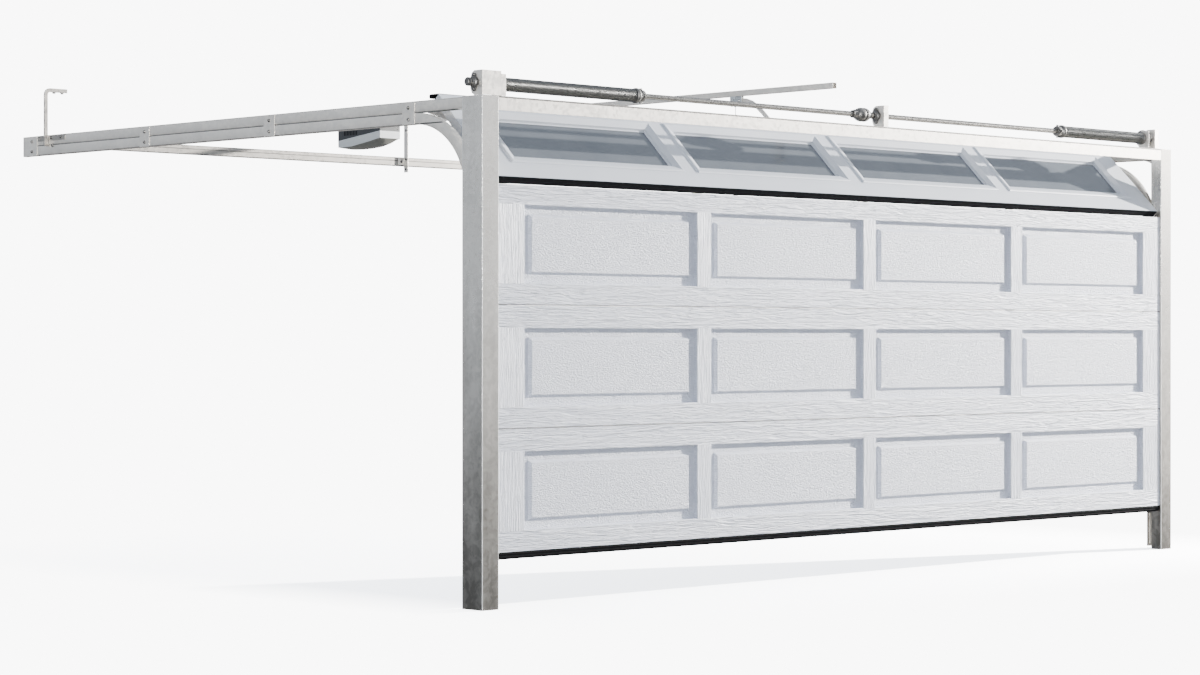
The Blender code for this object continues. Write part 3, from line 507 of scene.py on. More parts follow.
def tilted(mesh):
    """Turns a mesh, modelled upright, about the top hinge to where the top section stands."""
    for corner in mesh.vertices:
        h = corner.co.y - HINGE_Y
        reach = corner.co.z - HINGE_Z
        corner.co.y = HINGE_Y + reach * math.sin(TILT) + h * math.cos(TILT)
        corner.co.z = HINGE_Z + reach * math.cos(TILT) - h * math.sin(TILT)
    return mesh


def piece(name, mesh, material, body, replaces=(), edge=0.0, smooth=True):
    """Puts a mesh in the scene as a piece that rides on a body."""
    made = bpy.data.objects.new(name, mesh)
    scene.collection.objects.link(made)
    made.data.materials.clear()
    made.data.materials.append(material)
    if smooth:
        made.data.shade_smooth()
        made.data.set_sharp_from_angle(angle=SHARP)
    if edge:
        round_edges(made, edge)
    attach(made, body)
    if replaces:
        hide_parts(*replaces)
    return made


def bolt(axis, centre, face, out, radius=0.0065, washer=1.7):
    """A flange washer, hexagon head and chamfer, standing on a face and pointing out."""
    height = radius * 0.8 * out
    rim = radius * washer
    plate = lathe(axis, centre, ((0, face), (rim, face), (rim, face + out * 0.0008),
                                 (rim * 0.9, face + out * 0.0016), (0, face + out * 0.0016)), 20)
    base = face + out * 0.0014
    head = lathe(axis, centre, ((0, base), (radius, base), (radius, base + height * 0.8),
                                (radius * 0.85, base + height), (0, base + height)), 6)
    return merged([plate, head])


def dome(axis, centre, face, out, radius=0.008):
    """The low round head of a carriage bolt."""
    spots = ((1.0, 0.0), (0.98, 0.10), (0.86, 0.26), (0.62, 0.40), (0.32, 0.48), (0, 0.5))
    profile = [(0, face)] + [(radius * r, face + out * radius * h) for r, h in spots]
    return lathe(axis, centre, profile, 20)


def rounded(corners, radius, steps=4):
    """An open run of points whose inner right-angle corners are turned into arcs."""
    spots = [Vector(corner) for corner in corners]
    found = [tuple(spots[0])]
    for before, corner, after in zip(spots, spots[1:], spots[2:]):
        back = (before - corner).normalized() * radius
        ahead = (after - corner).normalized() * radius
        for step in range(steps + 1):
            angle = math.pi / 2 * step / steps
            spot = corner + back + ahead - ahead * math.cos(angle) - back * math.sin(angle)
            found.append(tuple(spot))
    return found + [tuple(spots[-1])]


def track_section():
    """The closed outline of a rolled track: a channel with rounded bends and two short lips."""
    half, wall, lip, bend = 0.02525, 0.0015, 0.008, 0.0045
    reach = half - lip
    skin = [(reach, TRACK_IN), (half, TRACK_IN), (half, TRACK_OUT)]
    skin += [(-half, TRACK_OUT), (-half, TRACK_IN), (-reach, TRACK_IN)]
    low, high, core = TRACK_IN + wall, TRACK_OUT - wall, half - wall
    lining = [(reach, low), (core, low), (core, high), (-core, high), (-core, low), (-reach, low)]
    return rounded(skin, bend) + rounded(lining, bend - wall)[::-1]


def smooth_route(route, step):
    """Points about one step apart on a smooth curve through the route's own points."""
    spots = [Vector(spot) for spot in route]
    spots = [spots[0] * 2 - spots[1]] + spots + [spots[-1] * 2 - spots[-2]]
    found = []
    for a, b, c, d in zip(spots, spots[1:], spots[2:], spots[3:]):
        count = max(1, round((c - b).length / step))
        for i in range(count):
            t = i / count
            bend = (c - a) * t + (a * 2 - b * 5 + c * 4 - d) * t**2
            bend += (b * 3 - a - c * 3 + d) * t**3
            found.append(b + bend / 2)
    return found + [spots[-2]]


# ---------------------------------------------------------------- release cord

CORD_RADIUS = 0.0018
CORD_ROUTE = (
    (0.0000, 0.9050, 2.3500),
    (0.0000, 0.9050, 2.3400),
    (0.0002, 0.9050, 2.3200),
    (0.0005, 0.9051, 2.2900),
    (0.0009, 0.9053, 2.2600),
    (0.0012, 0.9055, 2.2300),
    (0.0014, 0.9057, 2.2000),
    (0.0015, 0.9058, 2.1700),
    (0.0014, 0.9059, 2.1400),
    (0.0012, 0.9058, 2.1100),
    (0.0009, 0.9057, 2.0800),
    (0.0006, 0.9055, 2.0500),
    (0.0003, 0.9053, 2.0200),
    (0.0001, 0.9051, 1.9900),
    (0.0000, 0.9050, 1.9600),
    (0.0000, 0.9050, 1.9300),
    (0.0000, 0.9050, 1.9000),
)

cord_line = bpy.data.curves.new("pull_cord", "CURVE")
cord_line.dimensions = "3D"
cord_line.bevel_depth = CORD_RADIUS
cord_line.bevel_resolution = 4
cord_line.use_fill_caps = True
spline = cord_line.splines.new("POLY")
stations = smooth_route(CORD_ROUTE, 0.006)
spline.points.add(len(stations) - 1)
for point, spot in zip(spline.points, stations):
    point.co = (*spot, 1)
cord_line.materials.append(CORD_FABRIC)
pull_cord = bpy.data.objects.new("pull_cord", cord_line)
scene.collection.objects.link(pull_cord)
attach(pull_cord, "release")
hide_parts("release_cord")

handle_low, handle_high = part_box("release_handle")
grip = handle_high.z - handle_low.z
grip_spots = ((0, 0), (0.0060, 0), (0.0078, 0.02), (0.0112, 0.10), (0.0120, 0.20), (0.0108, 0.36),
              (0.0103, 0.48), (0.0112, 0.62), (0.0140, 0.78), (0.0149, 0.86), (0.0142, 0.93),
              (0.0116, 0.99), (0.0090, 1.0), (0, 1.0))
grip_profile = [(radius, handle_high.z - grip * share) for radius, share in grip_spots]
handle = piece("pull_handle", lathe("Z", CORD_ROUTE[-1][:2], grip_profile, 40), RED_PLASTIC,
               "release", ["release_handle"])

# ---------------------------------------------------------------- frame and door finishes

for side, _ in SIDES:
    finish_node(side + "_post", ZINC_POST, 0.0024, 3)
    finish_node(side + "_shaft", SHAFT_STEEL, 0.0010)
    finish_node(side + "_end_bracket", ZINC_BRIGHT, 0.0008)
    finish_node(side + "_spring_anchor", ZINC, 0.0008)
    finish_node(side + "_hanger", ZINC_HANGER_SHADED, 0.0012, 3)
finish_node("centre_bracket", ZINC_BRIGHT, 0.0008)
finish_node("header_beam", ZINC_HEADER, 0.0010, 3)
finish_node("rear_crossbar", ZINC_BAR_SHADED, 0.0008)
finish_node("opener_support", ZINC_BRIGHT, 0.0012, 3)
finish_node("opener_rail", ZINC, 0.0007)
finish_node("door_arm", ZINC, 0.0010, 3)
finish_node("arm_bracket", ZINC, 0.0008)
finish_node("motor_chassis", DARK_PLASTIC, 0.0030, 3)
finish_node("trolley", GREY_PLASTIC, 0.0010)
finish_node("release_lever", RED_PLASTIC, 0.0010)
for name in ("bottom_seal", "joint_seal", "top_seal"):
    finish_node(name, RUBBER, 0.0010)
piece("bottom_seal_lip", block(-2.447, 2.447, 0.0066, 0.0078, 0.2330, 0.2425), RUBBER, "door")
for index in range(3):
    low = DOOR_BASE + SECTION_PITCH * index
    finish_node(f"section_{index + 1}", painted_door(f"door_paint_{index + 1}", low))
finish_node("top_section", top_enamel_painted_shade("top_paint_shaded"))
for index in range(4):
    finish_node(f"window_pane_{index + 1}", GLASS)

# ---------------------------------------------------------------- tracks

SPLICES = (0.505, 1.502, 2.497)
GUSSET = ((0.012, 2.1505), (0.012, 2.078), (0.050, 2.092), (0.090, 2.116), (0.135, 2.137), (0.183, 2.1505))
BEND_Z = LOWER_Z - BEND_RADIUS
bend_path = [(ROLLER_Y, BEND_Z - 0.010)]
for step in range(41):
    angle = math.pi / 2 * step / 40
    y = ROLLER_Y + BEND_RADIUS * (1 - math.cos(angle))
    bend_path.append((y, BEND_Z + BEND_RADIUS * math.sin(angle)))
bend_path.append((TRACK_END, LOWER_Z))
plate_spans = [(y - 0.041, y + 0.041) for y in SPLICES] + [(3.445, TRACK_END + 0.001)]
PLATE_BOLT_END = 3.493
PLATE_BOLT_ROWS = (2.1210, 2.1720)
CLIP_BOLTS = (3.227, 3.314, 3.425)
CLIP_BOLT_Z = 2.1840
HANGER_BOLTS = (2.4435, 2.492)
HANGER_BOLT_FACE = 2.4200
BRACE_LEVELS = (0.25, 1.00, 1.65)
BRACE_HEIGHT = 0.040

for side, sign in SIDES:
    # the right-hand tracks take the darker zinc: painted shade
    zinc = ZINC_TRACK if sign < 0 else ZINC_SHADE
    section = track_section()
    upright = [sweep(((ROLLER_Y, 0.010), (ROLLER_Y, BEND_Z - 0.0103)), section)]
    fixings = []
    for z in BRACE_LEVELS:
        upright.append(block(TRACK_OUT - 0.0005, 2.5442, 0.089, 0.119, z, z + BRACE_HEIGHT))
        fixings.append(bolt("X", (ROLLER_Y, z + BRACE_HEIGHT / 2), TRACK_OUT - 0.0015, -1, 0.0055))
    piece(side + "_rolled_vertical_track", sided(merged(upright), sign), zinc, "frame",
          [side + "_vertical_track"])
    piece(side + "_rolled_lower_track", sided(sweep(bend_path, section), sign), zinc, "frame",
          [side + "_lower_track"])
    upper = [sweep(((0.010, UPPER_Z), (TRACK_END, UPPER_Z)), section)]
    upper.append(prism("X", GUSSET, TRACK_OUT - 0.0015, TRACK_OUT))
    piece(side + "_rolled_upper_track", sided(merged(upper), sign), zinc, "frame",
          [side + "_upper_track"])
    plates = []
    for start, end in plate_spans:
        plates.append(block(TRACK_OUT + 0.0001, PLATE_FACE, start, end, PLATE_LOW, PLATE_HIGH))
        y = min((start + end) / 2, PLATE_BOLT_END)
        for z in PLATE_BOLT_ROWS:
            fixings.append(bolt("X", (y, z), PLATE_FACE, 1, 0.0062, 1.35))
            fixings.append(bolt("X", (y, z), TRACK_OUT - 0.0015, -1, 0.0060, 1.4))
    piece(side + "_splice_plates", sided(merged(plates), sign), ZINC_BRIGHT, "frame",
          edge=0.0006)
    for y in CLIP_BOLTS:
        fixings.append(bolt("X", (y, CLIP_BOLT_Z), PLATE_FACE + 0.0003, 1, 0.0062, 1.35))
    fixings.append(bolt("X", (3.305, 2.1450), TRACK_OUT, 1, 0.0070, 1.4))
    for x in HANGER_BOLTS:
        fixings.append(bolt("Z", (x, HANGER_Y), HANGER_BOLT_FACE, -1, 0.0075, 1.3))
    # a thin dark strip behind the gap between upper and lower track: painted shade
    gap_shade_strip = block(TRACK_OUT - 0.0022, TRACK_OUT - 0.0016, 0.020, TRACK_END, 2.1440, 2.1530)
    piece(side + "_track_gap_shade_strip", sided(gap_shade_strip, sign), CASTING, "frame")
    fixings.append(bolt("Z", (2.500, 0.032), 0.0040, 1, 0.0080, 1.9))
    piece(side + "_fixings", sided(merged(fixings), sign), CASTING, "frame")

# ---------------------------------------------------------------- torsion shaft

WIRE = 0.0029
COIL_RADIUS = 0.0275
COIL_PITCH = 0.00635


def coil(start, end):
    """A close-wound torsion spring of round wire along the shaft."""
    turns = (end - start - 2 * WIRE) / COIL_PITCH
    around, sides_of_wire = 22, 8
    count = int(turns * around)
    points, faces = [], []
    for i in range(count + 1):
        angle = math.tau * i / around
        centre_x = start + WIRE + (end - start - 2 * WIRE) * i / count
        for k in range(sides_of_wire):
            turn = math.tau * k / sides_of_wire
            radius = COIL_RADIUS + WIRE * math.cos(turn)
            y = SHAFT[0] + radius * math.cos(angle)
            z = SHAFT[1] + radius * math.sin(angle)
            points.append((centre_x + WIRE * math.sin(turn), y, z))
    for i in range(count):
        for k in range(sides_of_wire):
            j = (k + 1) % sides_of_wire
            here, there = i * sides_of_wire, (i + 1) * sides_of_wire
            faces.append([here + k, here + j, there + j, there + k])
    faces.append(list(range(sides_of_wire)))
    faces.append(list(range(count * sides_of_wire, (count + 1) * sides_of_wire)))
    return mesh_of(points, faces)


def radial_pin(x, radius, inner, outer, step):
    """A short round boss with a blind hole, standing out from the shaft in one of four directions."""
    axis, out = (("Z", 1), ("Y", 1), ("Z", -1), ("Y", -1))[step]
    base = SHAFT[1] if axis == "Z" else SHAFT[0]
    centre = (x, SHAFT[0]) if axis == "Z" else (x, SHAFT[1])
    near, far = base + out * inner, base + out * outer
    profile = [(0, near), (radius, near), (radius, far - out * 0.001), (radius * 0.85, far)]
    profile += [(radius * 0.5, far), (radius * 0.5, far - out * 0.006), (0, far - out * 0.006)]
    return lathe(axis, centre, profile, 20)


def winding_cone(start, end):
    """A cast cone: threaded nose, wide flange, waist and a collar with four bar sockets."""
    run = end - start
    spots = ((0.0135, 0.0), (0.0300, 0.0), (0.0318, 0.03), (0.0345, 0.10), (0.0348, 0.16),
             (0.0348, 0.26), (0.0335, 0.32), (0.0270, 0.40), (0.0235, 0.46), (0.0232, 0.56),
             (0.0262, 0.60), (0.0272, 0.64), (0.0272, 0.94), (0.0260, 1.0), (0.0135, 1.0))
    parts = [lathe("X", SHAFT, [(r, start + run * t) for r, t in spots], 40)]
    for step in range(4):
        parts.append(radial_pin(start + run * 0.79, 0.0072, 0.022, 0.0345, step))
        angle = math.pi / 2 * step
        y, z = 0.0265 * math.cos(angle + 0.78), 0.0265 * math.sin(angle + 0.78)
        parts.append(bolt("X", (SHAFT[0] + y, SHAFT[1] + z), start + run * 0.32,
                          math.copysign(1, run), 0.0038, 1.2))
    return merged(parts)


def cable_drum(inboard, outboard, grooves):
    """A cast drum with a spiral of cable grooves, a rim on one side and a set-screw hub."""
    run = outboard - inboard
    spots = [(0.0135, 0.0), (0.0440, 0.0), (0.0458, 0.03), (0.0458, 0.10), (0.0440, 0.14)]
    for i in range(grooves * 6 + 1):
        share = 0.17 + 0.63 * i / (grooves * 6)
        spots.append((0.0412 + 0.0013 * math.cos(math.tau * i / 6), share))
    spots += [(0.0436, 0.84), (0.0443, 0.90), (0.0443, 0.97), (0.0430, 1.0), (0.0135, 1.0)]
    parts = [lathe("X", SHAFT, [(r, inboard + run * t) for r, t in spots], 48)]
    for step in range(3):
        angle = math.tau * step / 3 + 0.5
        centre = (SHAFT[0] + 0.0245 * math.cos(angle), SHAFT[1] + 0.0245 * math.sin(angle))
        parts.append(bolt("X", centre, outboard, math.copysign(1, run), 0.0040, 1.2))
    return merged(parts)


def flange_bearing(x):
    """A four-lobed flange on the left of a plate at x, with its race and hub."""
    lobes = []
    for step in range(96):
        angle = math.tau * step / 96
        reach = 0.0265 + 0.0130 * max(0.0, math.cos(2 * angle)) ** 2
        reach += 0.0050 * max(0.0, -math.cos(2 * angle)) ** 2
        lobes.append((SHAFT[0] + reach * math.sin(angle), SHAFT[1] + reach * math.cos(angle)))
    flange = prism("X", lobes, x - 0.0052, x - 0.0003)
    hub_spots = ((0.0135, 0.004), (0.0235, 0.004), (0.0235, 0.009), (0.0215, 0.0115),
                 (0.0196, 0.013), (0.0190, 0.0240), (0.0180, 0.0258), (0.0160, 0.0260),
                 (0.0152, 0.0240), (0.0135, 0.0240))
    parts = [flange, lathe("X", SHAFT, [(r, x - t) for r, t in hub_spots], 40)]
    for out in (-1, 1):
        parts.append(bolt("X", (SHAFT[0], SHAFT[1] + out * 0.0312), x - 0.0052, -1, 0.0048, 1.3))
        parts.append(bolt("X", (SHAFT[0] + out * 0.0262, SHAFT[1]), x - 0.0052, -1, 0.0034, 1.2))
    return merged(parts)


for name, start, end in (("left", -2.400, -1.587), ("right", 1.619, 2.3340)):
    piece(name + "_wound_spring", coil(start, end), SPRING_STEEL, "frame",
          [name + "_spring"])
for name, start, end in (("left", -1.5865, -1.532), ("right", 1.6185, 1.564)):
    piece(name + "_cast_cone", winding_cone(start, end), CASTING, "shaft",
          [name + "_winding_cone"])
piece("left_grooved_drum", cable_drum(-2.440, -2.495, 7), CASTING, "shaft",
      ["left_drum"])
piece("right_grooved_drum", cable_drum(2.3420, 2.3670, 3), CASTING, "shaft",
      ["right_drum"])
for name, x in (("left", -2.547), ("centre", 0.0975), ("right", 2.3955)):
    piece(name + "_flange_bearing", flange_bearing(x), CASTING, "frame",
          [name + "_bearing"])
for name, start, end in (("left", -2.4335, -2.394), ("right", 2.3360, 2.320)):
    run = end - start
    spots = ((0.0236, 0.0), (0.0335, 0.0), (0.0345, 0.10), (0.0345, 0.55), (0.0330, 0.72),
             (0.0312, 0.80), (0.0312, 1.0), (0.0236, 1.0))
    plug = lathe("X", SHAFT, [(r, start + run * t) for r, t in spots], 40)
    piece(name + "_spring_plug", plug, CASTING, "frame")

collar_spots = ((0, -2.5935), (0.0128, -2.5935), (0.0146, -2.5920), (0.0146, -2.5900),
                (0.0182, -2.5900), (0.0192, -2.5880), (0.0192, -2.5780), (0.0185, -2.5760),
                (0.0128, -2.5760), (0.0128, -2.5921), (0, -2.5921))
piece("shaft_end_collar", lathe("X", SHAFT, collar_spots, 32), CASTING, "shaft")

ball = ((0.0135, -0.0860), (0.0178, -0.0860), (0.0190, -0.0845), (0.0190, -0.0520),
        (0.0205, -0.0500), (0.0262, -0.0462), (0.0310, -0.0390), (0.0338, -0.0300),
        (0.0345, -0.0210), (0.0340, -0.0150), (0.0325, -0.0125), (0.0300, -0.0118),
        (0.0300, -0.0082), (0.0325, -0.0075), (0.0340, -0.0050), (0.0345, 0.0010),
        (0.0338, 0.0090), (0.0310, 0.0180), (0.0262, 0.0240), (0.0205, 0.0272),
        (0.0190, 0.0290), (0.0190, 0.0425), (0.0178, 0.0440), (0.0135, 0.0440))
coupling = [lathe("X", SHAFT, ball, 48)]
for x in (-0.068, 0.036):
    coupling += [radial_pin(x, 0.0045, 0.014, 0.0225, step) for step in (0, 1)]
for step in range(6):
    angle = math.tau * step / 6 + 0.3
    centre = (SHAFT[0] + 0.0250 * math.cos(angle), SHAFT[1] + 0.0250 * math.sin(angle))
    coupling.append(bolt("X", centre, -0.0462, -1, 0.0030, 1.2))
piece("cast_coupling", merged(coupling), CASTING, "shaft", ["shaft_coupling"])

# ---------------------------------------------------------------- rollers and hinges

WHEEL_SPOTS = ((0.0110, 2.5066), (0.0185, 2.5064), (0.0205, 2.5072), (0.0214, 2.5090),
               (0.0215, 2.5130), (0.0214, 2.5170), (0.0205, 2.5186), (0.0185, 2.5190),
               (0.0110, 2.5188))
RACE_SPOTS = ((0.0055, 2.5060), (0.0080, 2.5060), (0.0084, 2.5072), (0.0100, 2.5072),
              (0.0110, 2.5062), (0.0110, 2.5190), (0.0100, 2.5182), (0.0084, 2.5182),
              (0.0078, 2.5190), (0, 2.5190))


def roller(sign, y, z, inner, cad, body):
    """A nylon wheel on its ball race, with a steel stem that ends in a rounded tip."""
    tyre = lathe("X", (y, z), WHEEL_SPOTS, 36)
    piece(cad + "_tyre", sided(tyre, sign), NYLON, body, [cad])
    stem = ((0, inner), (0.0042, inner), (0.0053, inner + 0.0016), (0.0053, 2.500))
    stem += ((0.0066, 2.5015), (0.0066, 2.5050)) + RACE_SPOTS
    piece(cad + "_stem", sided(lathe("X", (y, z), stem, 24), sign), BOLT_STEEL, body)


ROLLER_LEVELS = (0.2875, 0.7248, 1.2581, 1.7795)
for side, sign in SIDES:
    for level, z in enumerate(ROLLER_LEVELS, 1):
        roller(sign, ROLLER_Y, z, 2.362, f"{side}_roller_{level}", f"{side}_wheel_{level}")
    roller_low, roller_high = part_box(side + "_top_roller")
    top_y = (roller_low.y + roller_high.y) / 2
    roller(sign, top_y, UPPER_Z, 2.4343, side + "_top_roller", "top_roller_pair")


def leaf(x, joint, out, reach=0.062):
    """One leaf of a stamped hinge: a plate with a raised rib, above (1) or below (-1) a joint."""
    back = HINGE_Y - 0.0002
    low, high = sorted((joint + out * 0.006, joint + out * reach))
    plate = block(x - 0.032, x + 0.032, back, back + 0.0024, low, high)
    rib = [(x - 0.009, back + 0.0020), (x + 0.009, back + 0.0020),
           (x + 0.006, back + 0.0056), (x - 0.006, back + 0.0056)]
    return merged([plate, prism("Z", rib, low + 0.004, high - 0.004)])


def leaf_bolts(x, joint, out):
    """The four bolts of a hinge leaf, above (1) or below (-1) a joint."""
    back = HINGE_Y + 0.0022
    spots = [(x + across, joint + out * up) for across in (-0.022, 0.022) for up in (0.022, 0.048)]
    return merged([bolt("Y", spot, back, 1, 0.0045, 1.4) for spot in spots])


def knuckle(x, joint, start, end):
    """The rolled part of a hinge round its pin, from start to end either side of x."""
    return lathe("X", (HINGE_Y + 0.0038, joint), ((0, x + start), (0.0050, x + start),
                 (0.0050, x + end), (0, x + end)), 20)


hinge_centres = STILE_CENTRES + [-END_STILE_X + 0.012, END_STILE_X - 0.012]
plates, bolts, upper_plates, upper_bolts = [], [], [], []
for x in hinge_centres:
    for level in (1, 2):
        joint = DOOR_BASE + SECTION_PITCH * level - 0.0005
        low_reach = 0.062 if abs(x) < 2 else 0.012
        plates += [leaf(x, joint, 1), leaf(x, joint, -1, low_reach), knuckle(x, joint, -0.031, 0.031)]
        bolts.append(leaf_bolts(x, joint, 1))
        if abs(x) < 2:
            bolts.append(leaf_bolts(x, joint, -1))
    if abs(x) < 2:
        plates.append(leaf(x, HINGE_Z, -1))
        bolts.append(leaf_bolts(x, HINGE_Z, -1))
    plates.append(knuckle(x, HINGE_Z, -0.031, -0.012))
    plates.append(knuckle(x, HINGE_Z, 0.012, 0.031))
    upper_plates += [leaf(x, HINGE_Z, 1), knuckle(x, HINGE_Z, -0.0115, 0.0115)]
    upper_bolts.append(leaf_bolts(x, HINGE_Z, 1))
for _, sign in SIDES:
    for z in ROLLER_LEVELS:
        for up in (-0.022, 0.022):
            bolts.append(sided(bolt("Y", (2.416, z + up), HINGE_Y + 0.0025, 1, 0.0040, 1.2), sign))
piece("section_hinges", merged(plates), ZINC, "door")
piece("section_hinge_bolts", merged(bolts), BOLT_STEEL, "door")
piece("top_hinges", tilted(merged(upper_plates)), ZINC, "top_leaf")
piece("top_hinge_bolts", tilted(merged(upper_bolts)), BOLT_STEEL, "top_leaf")

# ---------------------------------------------------------------- window trims

PANE_INSET = 0.052
TRIM_WIDTH = 0.018


def trim(x0, x1, z0, z1, width, y0, y1):
    """A moulded rectangular frame with a sloped inner edge, from y0 back to y1."""
    loops = []
    for inset, y in ((0, y0), (0, y1 - 0.001), (0.001, y1), (width * 0.6, y1), (width, y0 + 0.001),
                     (width, y0)):
        loops.append([(x0 + inset, y, z0 + inset), (x1 - inset, y, z0 + inset),
                      (x1 - inset, y, z1 - inset), (x0 + inset, y, z1 - inset)])
    points = [corner for loop in loops for corner in loop]
    faces = []
    for i in range(len(loops)):
        there = (i + 1) % len(loops)
        for k in range(4):
            j = (k + 1) % 4
            faces.append([4 * i + k, 4 * i + j, 4 * there + j, 4 * there + k])
    return mesh_of(points, faces)


top_base = HINGE_Z + 0.003
glass_low = top_base + PANEL_FOOT + PANE_INSET
glass_high = top_base + PANEL_HEAD - PANE_INSET
for index in range(4):
    x0 = PANEL_START + PANEL_PITCH * index + PANE_INSET
    x1 = x0 + PANEL_WIDTH - 2 * PANE_INSET
    inner = trim(x0 - 0.006, x1 + 0.006, glass_low - 0.006, glass_high + 0.006, TRIM_WIDTH, 0.0287, 0.0364)
    piece(f"window_trim_{index + 1}", tilted(inner), WHITE_TRIM, "top_leaf")
    screws = []
    for share in (0.03, 0.27, 0.5, 0.73, 0.97):
        x = x0 + (x1 - x0) * share
        screws += [dome("Y", (x, z), 0.0363, 1, 0.0038) for z in (glass_low - 0.001, glass_high + 0.001)]
    piece(f"window_screws_{index + 1}", tilted(merged(screws)), BOLT_STEEL, "top_leaf")

# ---------------------------------------------------------------- opener

MOTOR_HALF = 0.077
BELLY = ((3.650, 2.3655, 2.3230, 2.3225), (3.690, 2.3610, 2.3180, 2.2900),
         (3.750, 2.3543, 2.3080, 2.2765), (3.830, 2.3454, 2.2965, 2.2705),
         (3.910, 2.3365, 2.2855, 2.2695), (3.990, 2.3276, 2.2820, 2.2720),
         (4.035, 2.3226, 2.2840, 2.2790))


def between(rows, y):
    """The belly's heights at y, straight between its stations."""
    for low, high in zip(rows, rows[1:]):
        if y <= high[0] + 1e-9:
            t = (y - low[0]) / (high[0] - low[0])
            return [a + (b - a) * t for a, b in zip(low, high)]
    return list(rows[-1])


def belly():
    """The opener's lower cover: flat sides that turn through a soft edge into a crowned belly."""
    points = []
    start, end, lengths = BELLY[0][0], BELLY[-1][0], 40
    for step in range(lengths + 1):
        share = step / lengths
        y, seam, edge, keel = between(BELLY, start + (end - start) * share**1.5)
        row = [(-MOTOR_HALF, y, seam), (MOTOR_HALF, y, seam)]
        for k in range(25):
            t = 1 - k / 12
            soft = 1 - 0.010 * abs(t) ** 14
            row.append((MOTOR_HALF * t * soft, y, keel + (edge - keel) * abs(t) ** 2.2))
        points.append(row)
    ring = len(points[0])
    faces = [list(range(ring)), list(range(lengths * ring, (lengths + 1) * ring))]
    for step in range(lengths):
        for i in range(ring):
            j = (i + 1) % ring
            faces.append([step * ring + i, step * ring + j, (step + 1) * ring + j, (step + 1) * ring + i])
    return mesh_of([spot for row in points for spot in row], faces)


piece("motor_belly", belly(), TRAY_PLASTIC_SHADED_UNDER, "frame", ["motor_cover"], edge=0.0015)
vents = []
for step in range(9):
    y = 3.860 + 0.014 * step
    for _, sign in SIDES:
        x0, x1 = sorted((sign * (MOTOR_HALF - 0.001), sign * (MOTOR_HALF + 0.0006)))
        vents.append(block(x0, x1, y, y + 0.007, 2.3500, 2.3760))
piece("motor_vents", merged(vents), RUBBER, "frame", edge=0.0004)
motor_screws = []
for _, sign in SIDES:
    for y in (3.690, 3.960):
        motor_screws.append(dome("Z", (sign * 0.062, y), 2.3968, 1, 0.0050))
motor_screws += [dome("Y", (sign * 0.058, 2.3805), BELLY[0][0], -1, 0.0042) for _, sign in SIDES]
for z in (2.1280, 2.1850, 2.3500):
    motor_screws.append(bolt("X", (3.3945, z), -0.097, -1, 0.0050, 1.4))
motor_screws.append(bolt("Y", (-0.118, 2.172), 3.4082, -1, 0.0060, 1.5))
piece("opener_fixings", merged(motor_screws), CASTING, "frame")

belts = [block(sign * 0.0085 - 0.0007, sign * 0.0085 + 0.0007, 0.262, 3.698, 2.4050, 2.4150)
         for _, sign in SIDES]
piece("drive_belt", merged(belts), RUBBER, "frame")
pulley_spots = ((0.0025, 2.4035), (0.0100, 2.4035), (0.0100, 2.4048), (0.0078, 2.4060),
                (0.0078, 2.4140), (0.0100, 2.4152), (0.0100, 2.4165), (0.0025, 2.4165))
pulley = [lathe("Z", (0, 0.262), pulley_spots, 32)]
pulley.append(lathe("Z", (0, 0.262), ((0, 2.3975), (0.0026, 2.3975), (0.0026, 2.4238), (0, 2.4238)), 20))
piece("belt_pulley", merged(pulley), BOLT_STEEL, "frame")

ARM_PIN = (0.872, 2.375)
trolley_fixings = [bolt("X", ARM_PIN, out * 0.0088, out, 0.0050, 1.5) for out in (1, -1)]
for out in (1, -1):
    trolley_fixings += [dome("X", (y, 2.3795), out * 0.0180, out, 0.0040) for y in (0.900, 0.918)]
piece("trolley_fixings", merged(trolley_fixings), BOLT_STEEL, "trolley_block")
foot = (HINGE_Y + 0.090, HINGE_Z + 0.440)
foot_fixings = [bolt("X", foot, out * 0.0095, out, 0.0055, 1.5) for out in (1, -1)]
foot_fixings.append(lathe("X", foot, ((0, -0.0095), (0.0040, -0.0095), (0.0040, 0.0095), (0, 0.0095)), 20))
for x in (-0.021, 0.021):
    for z in (-0.062, 0.048):
        foot_fixings.append(bolt("Y", (x, foot[1] + z), HINGE_Y + 0.0035, 1, 0.0045, 1.3))
piece("arm_bracket_fixings", tilted(merged(foot_fixings)), BOLT_STEEL, "top_leaf")

# ---------------------------------------------------------------- studio

BACKDROP = 9.0
SKY = (0.86, 0.945, 1.07)
SKY_STRENGTH = 1.02
KEY_PLACE = (14.3, -3.57, 4.90)
KEY_POWER = 46000
RIM_PLACE = (-14.0, -4.6, 3.0)
RIM_POWER = 5000
STRIP_PLACE = (7.0, -2.4, 9.0)
STRIP_POWER = 600
GLINT_PLACE = (-11.5, -10.2, 2.0)
GLINT_POWER = 14000


def seen_directly(tree, shown, otherwise):
    """One shader for what the camera sees directly, and another for light that it gives."""
    path = tree.nodes.new("ShaderNodeLightPath")
    choice = tree.nodes.new("ShaderNodeMixShader")
    tree.links.new(path.outputs["Is Camera Ray"], choice.inputs[0])
    tree.links.new(otherwise, choice.inputs[1])
    tree.links.new(shown, choice.inputs[2])
    return choice.outputs[0]


world = bpy.data.worlds.new("studio")
scene.world = world
world.use_nodes = True
sky = world.node_tree
glow = sky.nodes["Background"]
glow.inputs["Color"].default_value = (*SKY, 1)
glow.inputs["Strength"].default_value = SKY_STRENGTH
backdrop = sky.nodes.new("ShaderNodeBackground")
backdrop.inputs["Color"].default_value = (1, 1, 1, 1)
backdrop.inputs["Strength"].default_value = BACKDROP
surface = seen_directly(sky, backdrop.outputs[0], glow.outputs[0])
sky.links.new(surface, sky.nodes["World Output"].inputs["Surface"])


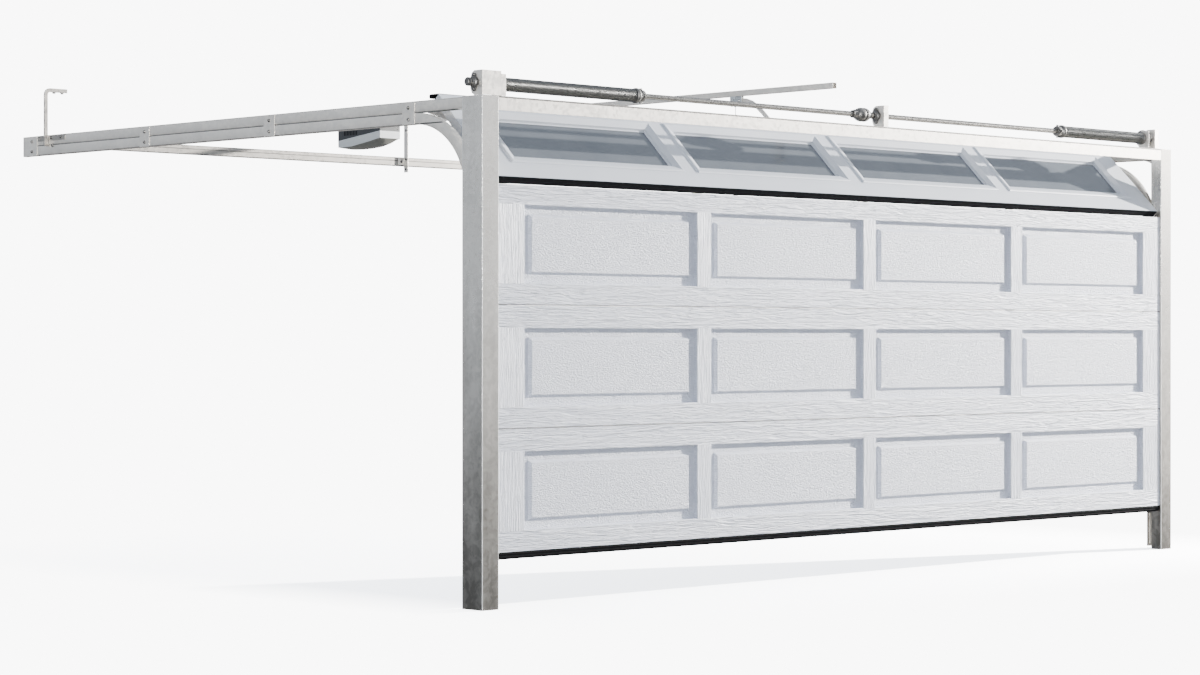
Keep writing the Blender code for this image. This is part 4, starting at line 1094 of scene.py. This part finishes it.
def light(name, kind, place, power):
    """A lamp of this kind at its place in the scene."""
    made = bpy.data.objects.new(name, bpy.data.lights.new(name, kind))
    made.data.energy = power
    made.location = place
    scene.collection.objects.link(made)
    return made


key = light("key", "POINT", KEY_PLACE, KEY_POWER)
key.data.shadow_soft_size = 0.12
key.data.color = (1.0, 0.97, 0.93)

rim = light("rim", "POINT", RIM_PLACE, RIM_POWER)
rim.data.shadow_soft_size = 0.8

strip = light("strip", "AREA", STRIP_PLACE, STRIP_POWER)
strip.data.shape = "RECTANGLE"
strip.data.size = 9.0
strip.data.size_y = 0.7

glint = light("glint", "POINT", GLINT_PLACE, GLINT_POWER)
glint.data.shadow_soft_size = 0.3

for highlight in (rim, strip, glint):
    highlight.visible_diffuse = False

floor_mesh = mesh_of([(-60, -60, 0), (60, -60, 0), (60, 60, 0), (-60, 60, 0)], [[0, 1, 2, 3]])
floor = bpy.data.objects.new("floor", floor_mesh)
scene.collection.objects.link(floor)
pale = Look("pale_floor", (0.16, 0.16, 0.16), 0.9)
sheen = pale.add("ShaderNodeBsdfDiffuse", {"Color": (3.2, 3.2, 3.2, 1)})
lift = pale.add("ShaderNodeEmission", {"Color": (1, 1, 1, 1), "Strength": 2.2})
lit = pale.add("ShaderNodeAddShader", {0: sheen.outputs[0], 1: lift.outputs[0]})
bare = pale.add("ShaderNodeEmission", {"Color": (1, 1, 1, 1), "Strength": BACKDROP})
x, y = pale.axis("X"), pale.axis("Y")
doorway = pale.math("MULTIPLY", pale.remap(x, -2.9, -2.3), pale.remap(x, 3.6, 2.6))
doorway = pale.math("MULTIPLY", doorway, pale.remap(y, -1.2, -0.3))
doorway = pale.math("MULTIPLY", doorway, pale.remap(y, 5.0, 3.0))
shown = pale.add("ShaderNodeMixShader", {0: doorway, 1: bare.outputs[0], 2: lit.outputs[0]})
surface = seen_directly(pale.tree, shown.outputs[0], pale.shader.outputs[0])
pale.tree.links.new(surface, pale.tree.nodes["Material Output"].inputs["Surface"])
floor.data.materials.append(pale.material)
